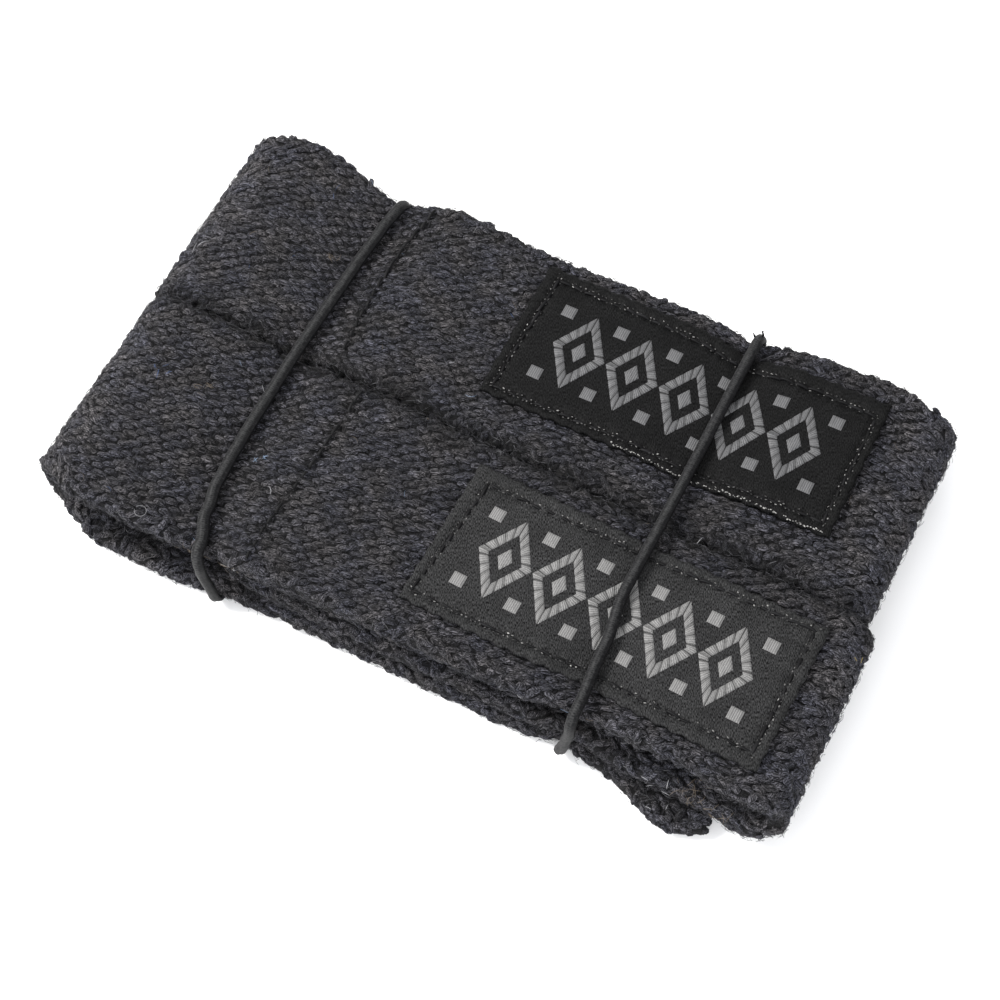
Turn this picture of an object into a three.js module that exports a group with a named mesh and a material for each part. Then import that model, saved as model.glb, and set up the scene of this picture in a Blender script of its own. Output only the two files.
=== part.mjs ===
// A pair of lifting straps, each folded into a flat packet, laid edge to edge
// and held together by two thin elastic cords. Millimetres, +Z up. The packets
// run along X, the front one is on the -Y side, and both lie on the plane Z = 0.
import * as THREE from "three";

// Webbing: one length of heavy cotton webbing makes one strap
const webWidth = 40.6;
const webThickness = 3.8;
const edgeRound = 1.5;
const layerGap = 0.5;
const packetGap = 0.6;
const seamLean = 1.3;

// Folded packets: the front one is a little longer than the back one
const frontLength = 147.8;
const backLength = 145.8;
const backSlide = -1.3;
const innerEndInset = 16;
const innerFoldInset = 39;
const tailEndInset = 13.4;

// Labels: woven patches sewn flat on the top layer
const labelLength = 68;
const labelWidth = 29.6;
const labelThickness = 0.7;
const labelCorner = 0.3;
const labelGap = 0.35;
const frontLabelInset = 7.6;
const backLabelInset = 12.6;
const frontLabelTurn = -1.3;
const backLabelTurn = 0.7;
const frontLabelSetback = 5.7;
const backLabelSetback = 8.4;

// Elastic cords: closed loops that squeeze the packets where they pass
const cordDiameter = 2;
const cordGap = 0.45;
const cordSides = 8;
const cordCorner = 3.4;
const floorClearance = 0.12;
const leftCordInset = 31.5;
const rightCordInset = 41.5;
const leftSqueeze = 2.1;
const rightSqueeze = 0.9;
const sideSqueeze = 1.1;
const squeezeReach = 7;
// share of a cord's loop that lies flat over or under one packet
const flatShare = 0.22;

// Fineness of the faceted solids
const longStep = 7.5;
const shortStep = 10;
const fineStep = 2.6;
const foldSteps = 7;
const edgeSteps = 4;
const acrossSteps = 5;
const labelSteps = 18;
const cordStep = 9;
const cornerSteps = 3;

const packetHeight = 4 * webThickness + 3 * layerGap;
const layerPitch = webThickness + layerGap;

// How each run of webbing leaves its even place in the stack. place is the
// share of the packet's half length from its middle, rise a share of the
// webbing's thickness, outer how far the outer edge spreads and slide how far
// the whole run moves outwards, both as shares of the webbing's width.
const frontRuns = {
  top: [
    { place: -1.0, rise: 0.1, outer: -0.015, slide: 0 },
    { place: -0.86, rise: 0.16, outer: 0.055, slide: 0 },
    { place: -0.5, rise: 0.06, outer: 0.05, slide: 0 },
    { place: -0.2, rise: 0.03, outer: 0.015, slide: 0 },
    { place: 0.3, rise: 0.02, outer: 0, slide: 0 },
    { place: 0.7, rise: 0.02, outer: 0.025, slide: 0 },
    { place: 1.0, rise: 0, outer: -0.005, slide: 0 },
  ],
  second: [
    { place: -1.0, rise: 0, outer: 0.03, slide: 0 },
    { place: 0, rise: 0, outer: 0, slide: 0 },
    { place: 1.0, rise: 0, outer: 0.01, slide: 0 },
  ],
  third: [
    { place: -1.0, rise: 0, outer: 0.04, slide: 0 },
    { place: 0, rise: 0, outer: 0.01, slide: 0 },
    { place: 0.8, rise: 0, outer: 0.025, slide: 0 },
    { place: 1.0, rise: 0, outer: -0.005, slide: 0 },
  ],
  bottom: [
    { place: -1.0, rise: 0.3, outer: -0.02, slide: 0 },
    { place: -0.8, rise: 0.08, outer: 0.055, slide: 0 },
    { place: -0.5, rise: 0, outer: 0.06, slide: 0 },
    { place: -0.3, rise: 0, outer: 0.01, slide: 0 },
    { place: 0.4, rise: 0, outer: 0.005, slide: 0 },
    { place: 0.55, rise: 0, outer: 0, slide: 0 },
    { place: 0.78, rise: 0, outer: 0, slide: 0.08 },
    { place: 1.0, rise: 0, outer: 0, slide: 0.1 },
  ],
};
const backRuns = {
  top: [
    { place: -1.0, rise: 0.06, outer: 0.02, slide: 0 },
    { place: -0.84, rise: 0.16, outer: 0.07, slide: 0 },
    { place: -0.6, rise: 0.02, outer: 0.005, slide: 0 },
    { place: -0.42, rise: 0.1, outer: 0.04, slide: 0 },
    { place: -0.1, rise: 0.02, outer: 0, slide: 0 },
    { place: 0.4, rise: 0.02, outer: 0.01, slide: 0 },
    { place: 0.55, rise: 0.06, outer: 0.04, slide: 0 },
    { place: 0.8, rise: 0.08, outer: 0.06, slide: 0 },
    { place: 1.0, rise: 0, outer: 0.01, slide: 0 },
  ],
  second: [
    { place: -1.0, rise: 0, outer: 0.01, slide: 0 },
    { place: 1.0, rise: 0, outer: 0.02, slide: 0 },
  ],
  third: [
    { place: -1.0, rise: 0, outer: 0.01, slide: 0 },
    { place: 0.7, rise: 0, outer: 0.03, slide: 0 },
    { place: 1.0, rise: 0, outer: 0.01, slide: 0 },
  ],
  bottom: [
    { place: -1.0, rise: 0.3, outer: 0.02, slide: 0 },
    { place: -0.75, rise: 0.06, outer: 0.05, slide: 0 },
    { place: 0, rise: 0, outer: 0.01, slide: 0 },
    { place: 1.0, rise: 0, outer: 0.02, slide: 0.02 },
  ],
};

// How a cord wanders along X on its way round: around is the share of the
// loop, which starts at the middle of the top and goes over the near edge
// first, and drift is a share of the webbing's width.
const leftDrift = [
  { around: 0, drift: -0.015 },
  { around: 0.1, drift: -0.03 },
  { around: 0.14, drift: 0 },
  { around: 0.2, drift: 0.045 },
  { around: 0.24, drift: 0.08 },
  { around: 0.29, drift: 0.15 },
  { around: 0.5, drift: 0.11 },
  { around: 0.7, drift: 0.05 },
  { around: 0.8, drift: 0.04 },
  { around: 0.83, drift: 0.01 },
  { around: 0.88, drift: -0.01 },
  { around: 1, drift: -0.015 },
];
const rightDrift = [
  { around: 0, drift: -0.005 },
  { around: 0.08, drift: -0.005 },
  { around: 0.14, drift: 0.02 },
  { around: 0.28, drift: 0.03 },
  { around: 0.6, drift: 0.01 },
  { around: 0.8, drift: -0.015 },
  { around: 1, drift: -0.005 },
];

const straps = [
  {
    name: "strap_front",
    side: -1,
    length: frontLength,
    middle: 0,
    runs: frontRuns,
  },
  {
    name: "strap_back",
    side: 1,
    length: backLength,
    middle: backSlide,
    runs: backRuns,
  },
];
const cords = [
  {
    name: "elastic_left",
    x: -frontLength / 2 + leftCordInset,
    squeeze: leftSqueeze,
    drift: leftDrift,
    overLabels: false,
  },
  {
    name: "elastic_right",
    x: frontLength / 2 - rightCordInset,
    squeeze: rightSqueeze,
    drift: rightDrift,
    overLabels: true,
  },
];

const webbing = new THREE.MeshStandardMaterial({ color: 0x35363b, roughness: 0.95, metalness: 0 });
const labelCloth = new THREE.MeshStandardMaterial({ color: 0x1d1d21, roughness: 0.6, metalness: 0 });
const elastic = new THREE.MeshStandardMaterial({ color: 0x1b1c1f, roughness: 0.55, metalness: 0 });

// A smooth value from a table: one column against another, eased between rows
function along(table, key, column, at) {
  const last = table.length - 1;
  if (at <= table[0][key]) return table[0][column];
  if (at >= table[last][key]) return table[last][column];
  const next = table.findIndex((row) => row[key] > at);
  const a = table[next - 1];
  const b = table[next];
  const t = (at - a[key]) / (b[key] - a[key]);
  return a[column] + (b[column] - a[column]) * t * t * (3 - 2 * t);
}

// The seam between the packets is a little out of line with them
function seamShift(x) {
  return (-seamLean * x) / (frontLength / 2);
}

// How far a cord's loop reaches over one strap, from the seam between the two:
// as far as the widest run that it leans on
function cordReach(cord, strap) {
  const spread = Object.values(strap.runs).flatMap((rows) => {
    return [-0.5, 0, 0.5].map((step) => {
      const place = (cord.x + step * squeezeReach - strap.middle) / (strap.length / 2);
      return along(rows, "place", "outer", place) + along(rows, "place", "slide", place);
    });
  });
  const edge = packetGap / 2 + webWidth * (1 + Math.max(...spread)) - sideSqueeze;
  return edge + cordGap + cordDiameter / 2;
}

// Height of the middle of the cord above the packets' top, and its floor side
function cordHeights(cord) {
  const low = floorClearance + cordDiameter / 2;
  const cover = cord.overLabels ? labelGap + labelThickness : 0;
  const groove = floorClearance + cordDiameter + cordGap;
  const rise = webThickness * along(frontRuns.top, "place", "rise", cord.x / (frontLength / 2));
  const share = (packetHeight - cord.squeeze - groove) / packetHeight;
  const top = groove + (packetHeight + cover + rise) * share;
  return { low, high: top + cordGap + cordDiameter / 2 };
}

// The closed route of a cord in its own plane, as points in Y and Z with the
// share of the loop: a rectangle with round corners
function cordOutline(cord) {
  const near = cordCorner - cordReach(cord, straps[0]);
  const far = cordReach(cord, straps[1]) - cordCorner;
  const { low, high } = cordHeights(cord);
  const path = new THREE.Path();
  path.moveTo(0, high);
  path.lineTo(near, high);
  path.absarc(near, high - cordCorner, cordCorner, Math.PI / 2, Math.PI, false);
  path.absarc(near, low + cordCorner, cordCorner, Math.PI, 1.5 * Math.PI, false);
  path.absarc(far, low + cordCorner, cordCorner, 1.5 * Math.PI, 2 * Math.PI, false);
  path.absarc(far, high - cordCorner, cordCorner, 0, Math.PI / 2, false);
  path.lineTo(0, high);
  const corners = path.getPoints(cornerSteps);
  return corners.slice(1).flatMap((point, i) => {
    const count = Math.ceil(point.distanceTo(corners[i]) / cordStep);
    return Array.from({ length: count }, (none, k) => corners[i].clone().lerp(point, k / count));
  });
}

// Where the cord is along X over a given Y, on the top or on the floor side
function cordPlace(cord, y, onTop) {
  const reach = cordReach(cord, y < 0 ? straps[0] : straps[1]);
  const share = THREE.MathUtils.clamp(y / reach, -1, 1) * flatShare;
  const around = onTop ? (share < 0 ? -share : 1 - share) : 0.5 + share;
  return cord.x + webWidth * along(cord.drift, "around", "drift", around);
}

// The cords squeeze the stack: a point keeps its share of the height between
// the groove on the floor side and the dip on the top, and moves in sideways.
function squeezed(point) {
  let low = 0;
  let high = packetHeight;
  let inwards = 0;
  for (const cord of cords) {
    const groove = floorClearance + cordDiameter + cordGap;
    const above = (point.x - cordPlace(cord, point.y, true)) / squeezeReach;
    const below = (point.x - cordPlace(cord, point.y, false)) / squeezeReach;
    high -= cord.squeeze * Math.exp(-above * above);
    low += groove * Math.exp(-below * below);
    inwards += sideSqueeze * Math.exp(-Math.pow((above + below) / 2, 2));
  }
  const share = point.z / packetHeight;
  const reach = packetGap / 2 + webWidth;
  return new THREE.Vector3(
    point.x,
    point.y - (inwards * point.y) / reach,
    low + share * (high - low),
  );
}

// One closed solid from rings of points, in order round each ring. Looped
// rings close on themselves, and others get a flat cap at each end.
function solidFromRings(rings, looped) {
  const count = rings[0].length;
  const positions = rings.flat().flatMap((p) => [p.x, p.y, p.z]);
  const index = [];
  const bands = looped ? rings.length : rings.length - 1;
  for (let i = 0; i < bands; i++) {
    const a = i * count;
    const b = ((i + 1) % rings.length) * count;
    for (let j = 0; j < count; j++) {
      const k = (j + 1) % count;
      index.push(a + j, b + j, a + k);
      index.push(a + k, b + j, b + k);
    }
  }
  if (!looped) {
    const end = (rings.length - 1) * count;
    for (let j = 0; j < count / 2 - 1; j++) {
      const k = count - 1 - j;
      index.push(j, j + 1, k);
      index.push(j + 1, k - 1, k);
      index.push(end + j, end + k, end + j + 1);
      index.push(end + j + 1, end + k, end + k - 1);
    }
  }
  const geometry = new THREE.BufferGeometry();
  geometry.setAttribute("position", new THREE.Float32BufferAttribute(positions, 3));
  geometry.setIndex(index);
  geometry.computeVertexNormals();
  return geometry;
}

// The outline of flat cloth cut across its length, as offsets from its middle
// line: across in Y and up in its thickness, with round edges
function clothSection(thickness, round, steps) {
  const points = [];
  for (const side of [1, -1]) {
    for (let i = 0; i <= steps; i++) {
      const angle = (Math.PI * i) / steps;
      points.push({
        edge: side,
        inset: round * (1 - Math.sin(angle)),
        up: (side * Math.cos(angle) * thickness) / 2,
      });
    }
    for (let i = 1; i < acrossSteps; i++) {
      points.push({ edge: side * (1 - (2 * i) / acrossSteps), inset: round, up: (-side * thickness) / 2 });
    }
  }
  return points;
}

// Places from one X to another, a step apart, and closer where a cord passes
function placesBetween(from, to, step) {
  const places = [from];
  while (Math.abs(to - places[places.length - 1]) > step) {
    const x = places[places.length - 1];
    const near = cords.some((cord) => Math.abs(x - cord.x) < 2 * squeezeReach);
    places.push(x + Math.sign(to - from) * (near ? fineStep : step));
  }
  places.push(to);
  return places;
}

// The middle line of one folded strap in X and Z, from its inner cut end to
// its outer one: second run, inner fold, third run, right fold, top run, left
// fold, bottom run
function foldedLine(strap) {
  const half = strap.length / 2;
  const level = { bottom: 0, third: 1, second: 2, top: 3 };
  const stations = [];

  function station(run, x, z, nx, nz) {
    const rows = strap.runs[run];
    const place = (x - strap.middle) / half;
    const outer = along(rows, "place", "outer", place);
    const slide = along(rows, "place", "slide", place);
    stations.push({ x, z, nx, nz, outer, slide });
  }
  function heightOf(run, x) {
    const rise = along(strap.runs[run], "place", "rise", (x - strap.middle) / half);
    return webThickness / 2 + level[run] * layerPitch + webThickness * rise;
  }
  function straight(run, from, to, step) {
    const forwards = Math.sign(to - from);
    for (const x of placesBetween(from, to, step)) {
      const slope = (heightOf(run, x + 1) - heightOf(run, x - 1)) / 2;
      const size = Math.hypot(1, slope);
      station(run, x, heightOf(run, x), (-slope / size) * forwards, (1 / size) * forwards);
    }
  }
  // A half turn about (x, middle height), bulging to the given side, from one
  // run's height to the next one's
  function turn(fromRun, toRun, x, bulge) {
    const start = heightOf(fromRun, x);
    const end = heightOf(toRun, x);
    const radius = Math.abs(end - start) / 2;
    const climb = Math.sign(end - start);
    for (let i = 1; i < foldSteps; i++) {
      const angle = (Math.PI * i) / foldSteps;
      const outward = Math.sin(angle);
      const up = -climb * Math.cos(angle);
      const run = i * 2 < foldSteps ? fromRun : toRun;
      const spin = bulge * climb;
      station(run, x + bulge * radius * outward, (start + end) / 2 + radius * up,
        -spin * bulge * outward, -spin * up);
    }
  }

  const innerRadius = layerPitch / 2 + webThickness / 2;
  const left = strap.middle - half;
  const right = strap.middle + half;
  const innerEnd = right - innerEndInset;
  const innerFold = left + innerFoldInset + innerRadius;
  const rightFold = right - layerPitch - webThickness / 2;
  const outerRise = webThickness * (strap.runs.top[0].rise - strap.runs.bottom[0].rise);
  const leftFold = left + webThickness / 2 + (3 * layerPitch + outerRise) / 2;
  straight("second", innerEnd, innerFold, shortStep);
  turn("second", "third", innerFold, -1);
  straight("third", innerFold, rightFold, shortStep);
  turn("third", "top", rightFold, 1);
  straight("top", rightFold, leftFold, longStep);
  turn("top", "bottom", leftFold, -1);
  straight("bottom", leftFold, right - tailEndInset, longStep);
  return stations;
}

function strapGeometry(strap) {
  const section = clothSection(webThickness, edgeRound, edgeSteps);
  const rings = foldedLine(strap).map((at) => section.map((point) => {
    const lean = strap.side * seamShift(at.x);
    const inner = packetGap / 2 + lean + webWidth * at.slide;
    const outer = packetGap / 2 + webWidth * (1 + at.outer + at.slide);
    const across = point.edge * ((outer - inner) / 2 - point.inset);
    const y = (strap.side * (outer + inner)) / 2 + across;
    return squeezed(new THREE.Vector3(at.x + at.nx * point.up, y, at.z + at.nz * point.up));
  }));
  return solidFromRings(rings, false);
}

// The top of the webbing under a point, before the cords squeeze it
function topHeight(strap, x) {
  const rise = along(strap.runs.top, "place", "rise", (x - strap.middle) / (strap.length / 2));
  return packetHeight + webThickness * rise;
}

function labelGeometry(strap, x, y, turn) {
  const section = clothSection(labelThickness, labelCorner, 2);
  const angle = THREE.MathUtils.degToRad(turn);
  const rings = [];
  for (let i = 0; i <= labelSteps; i++) {
    const run = labelLength * (i / labelSteps - 0.5);
    rings.push(section.map((point) => {
      const across = point.edge * (labelWidth / 2 - point.inset);
      const px = x + run * Math.cos(angle) - across * Math.sin(angle);
      const py = y + run * Math.sin(angle) + across * Math.cos(angle);
      const pz = topHeight(strap, px) + labelGap + labelThickness / 2 + point.up;
      return squeezed(new THREE.Vector3(px, py, pz));
    }));
  }
  return solidFromRings(rings, false);
}

function cordGeometry(cord) {
  const flat = cordOutline(cord);
  const lengths = [0];
  for (let i = 1; i < flat.length; i++) {
    lengths.push(lengths[i - 1] + flat[i].distanceTo(flat[i - 1]));
  }
  const total = lengths[lengths.length - 1] + flat[0].distanceTo(flat[flat.length - 1]);
  const route = flat.map((p, i) => {
    const x = cord.x + webWidth * along(cord.drift, "around", "drift", lengths[i] / total);
    return new THREE.Vector3(x, p.x, p.y);
  });
  const rings = route.map((p, i) => {
    const before = route[(i - 1 + route.length) % route.length];
    const after = route[(i + 1) % route.length];
    const ahead = after.clone().sub(before).normalize();
    const sideways = new THREE.Vector3(1, 0, 0).addScaledVector(ahead, -ahead.x).normalize();
    const outwards = sideways.clone().cross(ahead);
    const ring = [];
    for (let j = 0; j < cordSides; j++) {
      const angle = (2 * Math.PI * (j + 0.5)) / cordSides;
      ring.push(p.clone()
        .addScaledVector(sideways, (Math.cos(angle) * cordDiameter) / 2)
        .addScaledVector(outwards, (Math.sin(angle) * cordDiameter) / 2));
    }
    return ring;
  });
  return solidFromRings(rings, true);
}

function piece(name, geometry, material) {
  const mesh = new THREE.Mesh(geometry, material);
  mesh.name = name;
  return mesh;
}

const group = new THREE.Group();
for (const strap of straps) {
  group.add(piece(strap.name, strapGeometry(strap), webbing));
}

const frontLabelY = -(packetGap / 2 + frontLabelSetback + labelWidth / 2);
const backLabelY = packetGap / 2 + backLabelSetback + labelWidth / 2;
const frontLabelX = frontLength / 2 - frontLabelInset - labelLength / 2;
const backLabelX = backSlide + backLength / 2 - backLabelInset - labelLength / 2;
group.add(piece("label_front", labelGeometry(straps[0], frontLabelX, frontLabelY, frontLabelTurn), labelCloth));
group.add(piece("label_back", labelGeometry(straps[1], backLabelX, backLabelY, backLabelTurn), labelCloth));

for (const cord of cords) {
  group.add(piece(cord.name, cordGeometry(cord), elastic));
}

// The packets are centred over the origin and rest on Z = 0
const extent = new THREE.Box3().setFromObject(group);
const centre = extent.getCenter(new THREE.Vector3());
group.position.set(-centre.x, -centre.y, -extent.min.z);

export default group;
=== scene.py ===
import math

import bmesh
import bpy
import numpy as np
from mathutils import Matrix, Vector


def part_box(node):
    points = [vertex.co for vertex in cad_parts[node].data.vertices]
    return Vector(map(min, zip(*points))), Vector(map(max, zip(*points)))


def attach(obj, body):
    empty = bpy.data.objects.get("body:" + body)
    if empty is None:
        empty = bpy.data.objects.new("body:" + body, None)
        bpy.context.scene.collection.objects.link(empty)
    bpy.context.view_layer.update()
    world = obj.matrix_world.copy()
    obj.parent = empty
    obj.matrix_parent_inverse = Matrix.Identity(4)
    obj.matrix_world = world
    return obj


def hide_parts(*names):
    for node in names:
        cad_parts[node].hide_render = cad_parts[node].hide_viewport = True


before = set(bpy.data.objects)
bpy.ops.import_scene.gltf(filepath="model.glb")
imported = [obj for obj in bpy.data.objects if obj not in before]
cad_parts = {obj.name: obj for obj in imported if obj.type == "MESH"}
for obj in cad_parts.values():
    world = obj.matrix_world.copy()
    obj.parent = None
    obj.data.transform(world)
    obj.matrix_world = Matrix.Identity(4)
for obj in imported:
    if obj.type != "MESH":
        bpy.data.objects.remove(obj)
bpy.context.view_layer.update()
scene = bpy.context.scene

# Sizes in this file are in millimetres, and meshes are made in metres
MM = 0.001

# The camera looks down over the packets' near long side, a little from the
# right, so that the left fold, the near edges and both labels show.
view_azimuth = math.radians(27.2)
view_height = math.radians(61.7)
view_distance = 415.5
view_centre = Vector((5.3, -10.1, 18.0))
view_lens = 85.26
view_sensor = 36
view_back = Vector((
    math.sin(view_azimuth) * math.cos(view_height),
    -math.cos(view_azimuth) * math.cos(view_height),
    math.sin(view_height),
))
camera = bpy.data.objects.new("camera", bpy.data.cameras.new("camera"))
camera.data.lens = view_lens
camera.data.sensor_width = view_sensor
camera.data.clip_start = 0.01
camera.location = (view_centre + view_back * view_distance) * MM
camera.rotation_mode = "QUATERNION"
camera.rotation_quaternion = (-view_back).to_track_quat("-Z", "Y")
scene.collection.objects.link(camera)
scene.camera = camera


# The studio is a plain white table top under an even white sky, with one wide
# soft light over the left end and a weaker one over the near side.
table_size = 3.0
table_colour = (0.97, 0.97, 0.97)
sky_colour = (0.98, 0.985, 1.0)
sky_strength = 0.95
soft_lights = {
    "key": dict(place=(-0.55, -0.12, 0.6), size=0.32, watts=11.5, colour=(1.0, 0.99, 0.975)),
    "fill": dict(place=(0.3, -0.6, 0.55), size=0.8, watts=5.7, colour=(0.97, 0.98, 1.0)),
}


def new_material(name, roughness, specular, sheen=0.0):
    """A material with an empty principled shader, and that shader."""
    material = bpy.data.materials.new(name)
    material.use_nodes = True
    shader = material.node_tree.nodes["Principled BSDF"]
    shader.inputs["Roughness"].default_value = roughness
    shader.inputs["Sheen Weight"].default_value = sheen
    shader.inputs["Specular IOR Level"].default_value = specular
    return material, shader


def mesh_piece(name, points, faces, material):
    """A smooth shaded object at the origin from points in millimetres."""
    mesh = bpy.data.meshes.new(name)
    mesh.from_pydata((np.asarray(points) * MM).tolist(), [], [list(map(int, f)) for f in faces])
    mesh.polygons.foreach_set("use_smooth", [True] * len(mesh.polygons))
    mesh.materials.append(material)
    mesh.update()
    piece = bpy.data.objects.new(name, mesh)
    scene.collection.objects.link(piece)
    return piece


scene.view_settings.view_transform = "Standard"
world = bpy.data.worlds.new("even sky")
world.use_nodes = True
world.node_tree.nodes["Background"].inputs["Color"].default_value = (*sky_colour, 1)
world.node_tree.nodes["Background"].inputs["Strength"].default_value = sky_strength
scene.world = world
for name, light in soft_lights.items():
    data = bpy.data.lights.new(name, "AREA")
    data.size = light["size"]
    data.energy = light["watts"]
    data.color = light["colour"]
    lamp = bpy.data.objects.new(name, data)
    lamp.location = light["place"]
    lamp.rotation_euler = (-Vector(light["place"])).to_track_quat("-Z", "Y").to_euler()
    scene.collection.objects.link(lamp)
table_material, table_shader = new_material("white table top", roughness=0.7, specular=0.2)
table_shader.inputs["Base Color"].default_value = (*table_colour, 1)
half_table = table_size / 2 / MM
table = mesh_piece(
    "table_top",
    [(-half_table, -half_table, 0), (half_table, -half_table, 0),
     (half_table, half_table, 0), (-half_table, half_table, 0)],
    [(0, 1, 2, 3)],
    table_material,
)


# Each strap is one length of thick cotton webbing, folded over and over into a
# flat packet. Its inner end is doubled back inside the packet, and the two
# packets lie edge to edge and are squeezed where the elastics pass.
web_width = 40.6
web_thickness = 3.8
edge_round = 1.5
layer_gap = 0.5
packet_gap = 0.6
seam_lean = 1.3
front_length = 147.8
back_length = 145.8
back_middle = -1.3
inner_end_inset = 16
inner_fold_inset = 39
tail_end_inset = 12.4
label_gap = 0.35
label_thickness = 0.7
cord_diameter = 2
cord_gap = 0.45
cord_corner = 3.4
left_cord_inset = 31.5
right_cord_inset = 41.5
floor_clearance = 0.12
side_squeeze = 1.1
squeeze_reach = 7
groove_reach = 3.4
flat_share = 0.22
layer_pitch = web_thickness + layer_gap
packet_height = 4 * web_thickness + 3 * layer_gap
groove_depth = floor_clearance + cord_diameter + cord_gap
core_inset = 0.42
core_step = 1.3
core_round_steps = 5
core_across_steps = 12
line_step = 0.5
fold_step = math.radians(5)
# The core shows only in gaps between floats; its dark tone is its dark weft and painted deep shade
core_weft_and_shade_tone = -0.8
fibre_twist = math.radians(15)
fibre_matting = (math.radians(22), math.radians(85))
fibre_grain = (0.85, 7.0, 7.0)
clumps_per_metre = 800
clump_offsets = (91, 57, 23)
dye_patches_per_metre = 170
blue_cast = (0.86, 0.88, 1.0)
brown_cast = (1.1, 1.05, 1.0)
yarn_dark = (0.003, 0.003, 0.0035)
yarn_mid = (0.0168, 0.0166, 0.0184)
yarn_light = (0.095, 0.0935, 0.102)

# place is the share of the packet's half length from its middle; rise is a
# share of the thickness, and outer and slide are shares of the width
front_runs = {
    "top": dict(
        place=(-1, -0.86, -0.5, -0.2, 0.3, 0.7, 0.92, 1),
        rise=(0.1, 0.16, 0.06, 0.03, 0.02, 0.02, 0.01, 0),
        outer=(-0.055, 0.055, 0.05, 0.015, 0, -0.02, 0.015, -0.02),
    ),
    "second": dict(place=(-1, -0.5, 0, 0.3, 0.55, 1), outer=(0.03, -0.01, -0.02, -0.03, -0.12, -0.13)),
    "third": dict(place=(-1, -0.5, 0, 0.8, 0.92, 1), outer=(0.04, 0.01, 0.01, 0.03, 0.05, 0)),
    "bottom": dict(
        place=(-1, -0.8, -0.5, -0.3, 0.4, 0.55, 0.75, 0.83),
        rise=(0.3, 0.08, 0, 0, 0, 0, 0, 0),
        outer=(-0.05, 0.08, 0.09, 0.03, 0.03, 0.045, 0.07, 0),
        slide=(0, 0, 0, 0, 0, 0, 0.08, 0.1),
    ),
}
back_runs = {
    "top": dict(
        place=(-1, -0.84, -0.6, -0.42, -0.1, 0.4, 0.55, 0.8, 1),
        rise=(0.06, 0.16, 0.02, 0.1, 0.02, 0.02, 0.06, 0.08, 0),
        outer=(0.02, 0.07, 0.005, 0.04, 0.015, 0.045, 0.075, 0.09, 0.03),
    ),
    "second": dict(place=(-1, 1), outer=(0.01, 0.02)),
    "third": dict(place=(-1, 0.7, 1), outer=(0.01, 0.03, 0.01)),
    "bottom": dict(
        place=(-1, -0.75, 0, 1),
        rise=(0.3, 0.06, 0, 0),
        outer=(0.02, 0.05, 0.01, 0.02),
        slide=(0, 0, 0, 0.02),
    ),
}
straps = {
    "front": dict(
        node="strap_front", side=-1, length=front_length, middle=0, runs=front_runs,
        sewn_across=(-0.94, -0.6, -0.2, 0.2, 0.6, 0.94), sewn_x=(-29, -29.2, -28.4, -27.9, -27.6, -27.5),
    ),
    "back": dict(
        node="strap_back", side=1, length=back_length, middle=back_middle, runs=back_runs,
        sewn_across=(-0.94, -0.5, 0, 0.5, 0.94), sewn_x=(-34.6, -35.4, -35.9, -35.8, -34.4),
    ),
}
# bite is how far a cord sinks into the near and far edges, groove the angle of the
# crease along it and groove_cut that crease's depth. around is the share of the
# cord's loop from the middle of its top over the near edge, and drift a share of
# the webbing's width
cords = {
    "left": dict(
        node="elastic_left", x=left_cord_inset - front_length / 2, squeeze=2.1, cover=0, bite=(0.5, 3.0),
        flatness=(1.12, 0.88), groove=0.95, groove_cut=0.2,
        around=(0, 0.08, 0.115, 0.15, 0.18, 0.215, 0.24, 0.285, 0.5, 0.7, 0.807, 0.835, 0.884, 1),
        drift=(-0.002, 0.003, 0.009, 0.02, 0.051, 0.11, 0.143, 0.185, 0.11, 0.05, 0.035, 0.02, 0.009, -0.002),
    ),
    "right": dict(
        node="elastic_right", x=front_length / 2 - right_cord_inset, squeeze=0.9,
        cover=label_gap + label_thickness, bite=(0.3, 1.6),
        flatness=(1.02, 0.93), groove=1.0, groove_cut=0.12,
        around=(0, 0.08, 0.14, 0.2, 0.23, 0.255, 0.285, 0.35, 0.6, 0.8, 1),
        drift=(-0.005, -0.005, 0.032, 0.055, 0.057, 0.04, 0.012, 0.02, 0.01, -0.015, -0.005),
    ),
}


def eased(places, values, at):
    """A table's value at any place, eased from row to row."""
    places = np.asarray(places, float)
    values = np.asarray(values, float)
    row = np.clip(np.searchsorted(places, at, side="right") - 1, 0, len(places) - 2)
    t = np.clip((at - places[row]) / (places[row + 1] - places[row]), 0, 1)
    return values[row] + (values[row + 1] - values[row]) * t * t * (3 - 2 * t)


def run_value(strap, run, column, x):
    """What a run's table says at x: its rise, outer spread or slide."""
    table = strap["runs"][run]
    if column not in table:
        return np.zeros(np.shape(x))
    return eased(table["place"], table[column], (x - strap["middle"]) / (strap["length"] / 2))


def cord_reach(cord, strap):
    """How far the middle of a cord's loop reaches out from the seam between the packets."""
    spread = max(
        run_value(strap, run, "outer", x) + run_value(strap, run, "slide", x)
        for run in strap["runs"]
        for x in cord["x"] + squeeze_reach * np.array((-0.5, 0, 0.5))
    )
    return packet_gap / 2 + web_width * (1 + spread) - side_squeeze + cord_gap + cord_diameter / 2


for cord in cords.values():
    cord["near"] = cord_reach(cord, straps["front"]) - cord["bite"][0]
    cord["far"] = cord_reach(cord, straps["back"]) - cord["bite"][1]


def cord_place(cord, y, on_top):
    """Where a cord is along X over a given Y, on the top or on the underside."""
    share = flat_share * np.where(y < 0, np.maximum(y / cord["near"], -1), np.minimum(y / cord["far"], 1))
    around = np.where(share < 0, -share, 1 - share) if on_top else 0.5 + share
    return cord["x"] + web_width * eased(cord["around"], cord["drift"], around)


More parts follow.
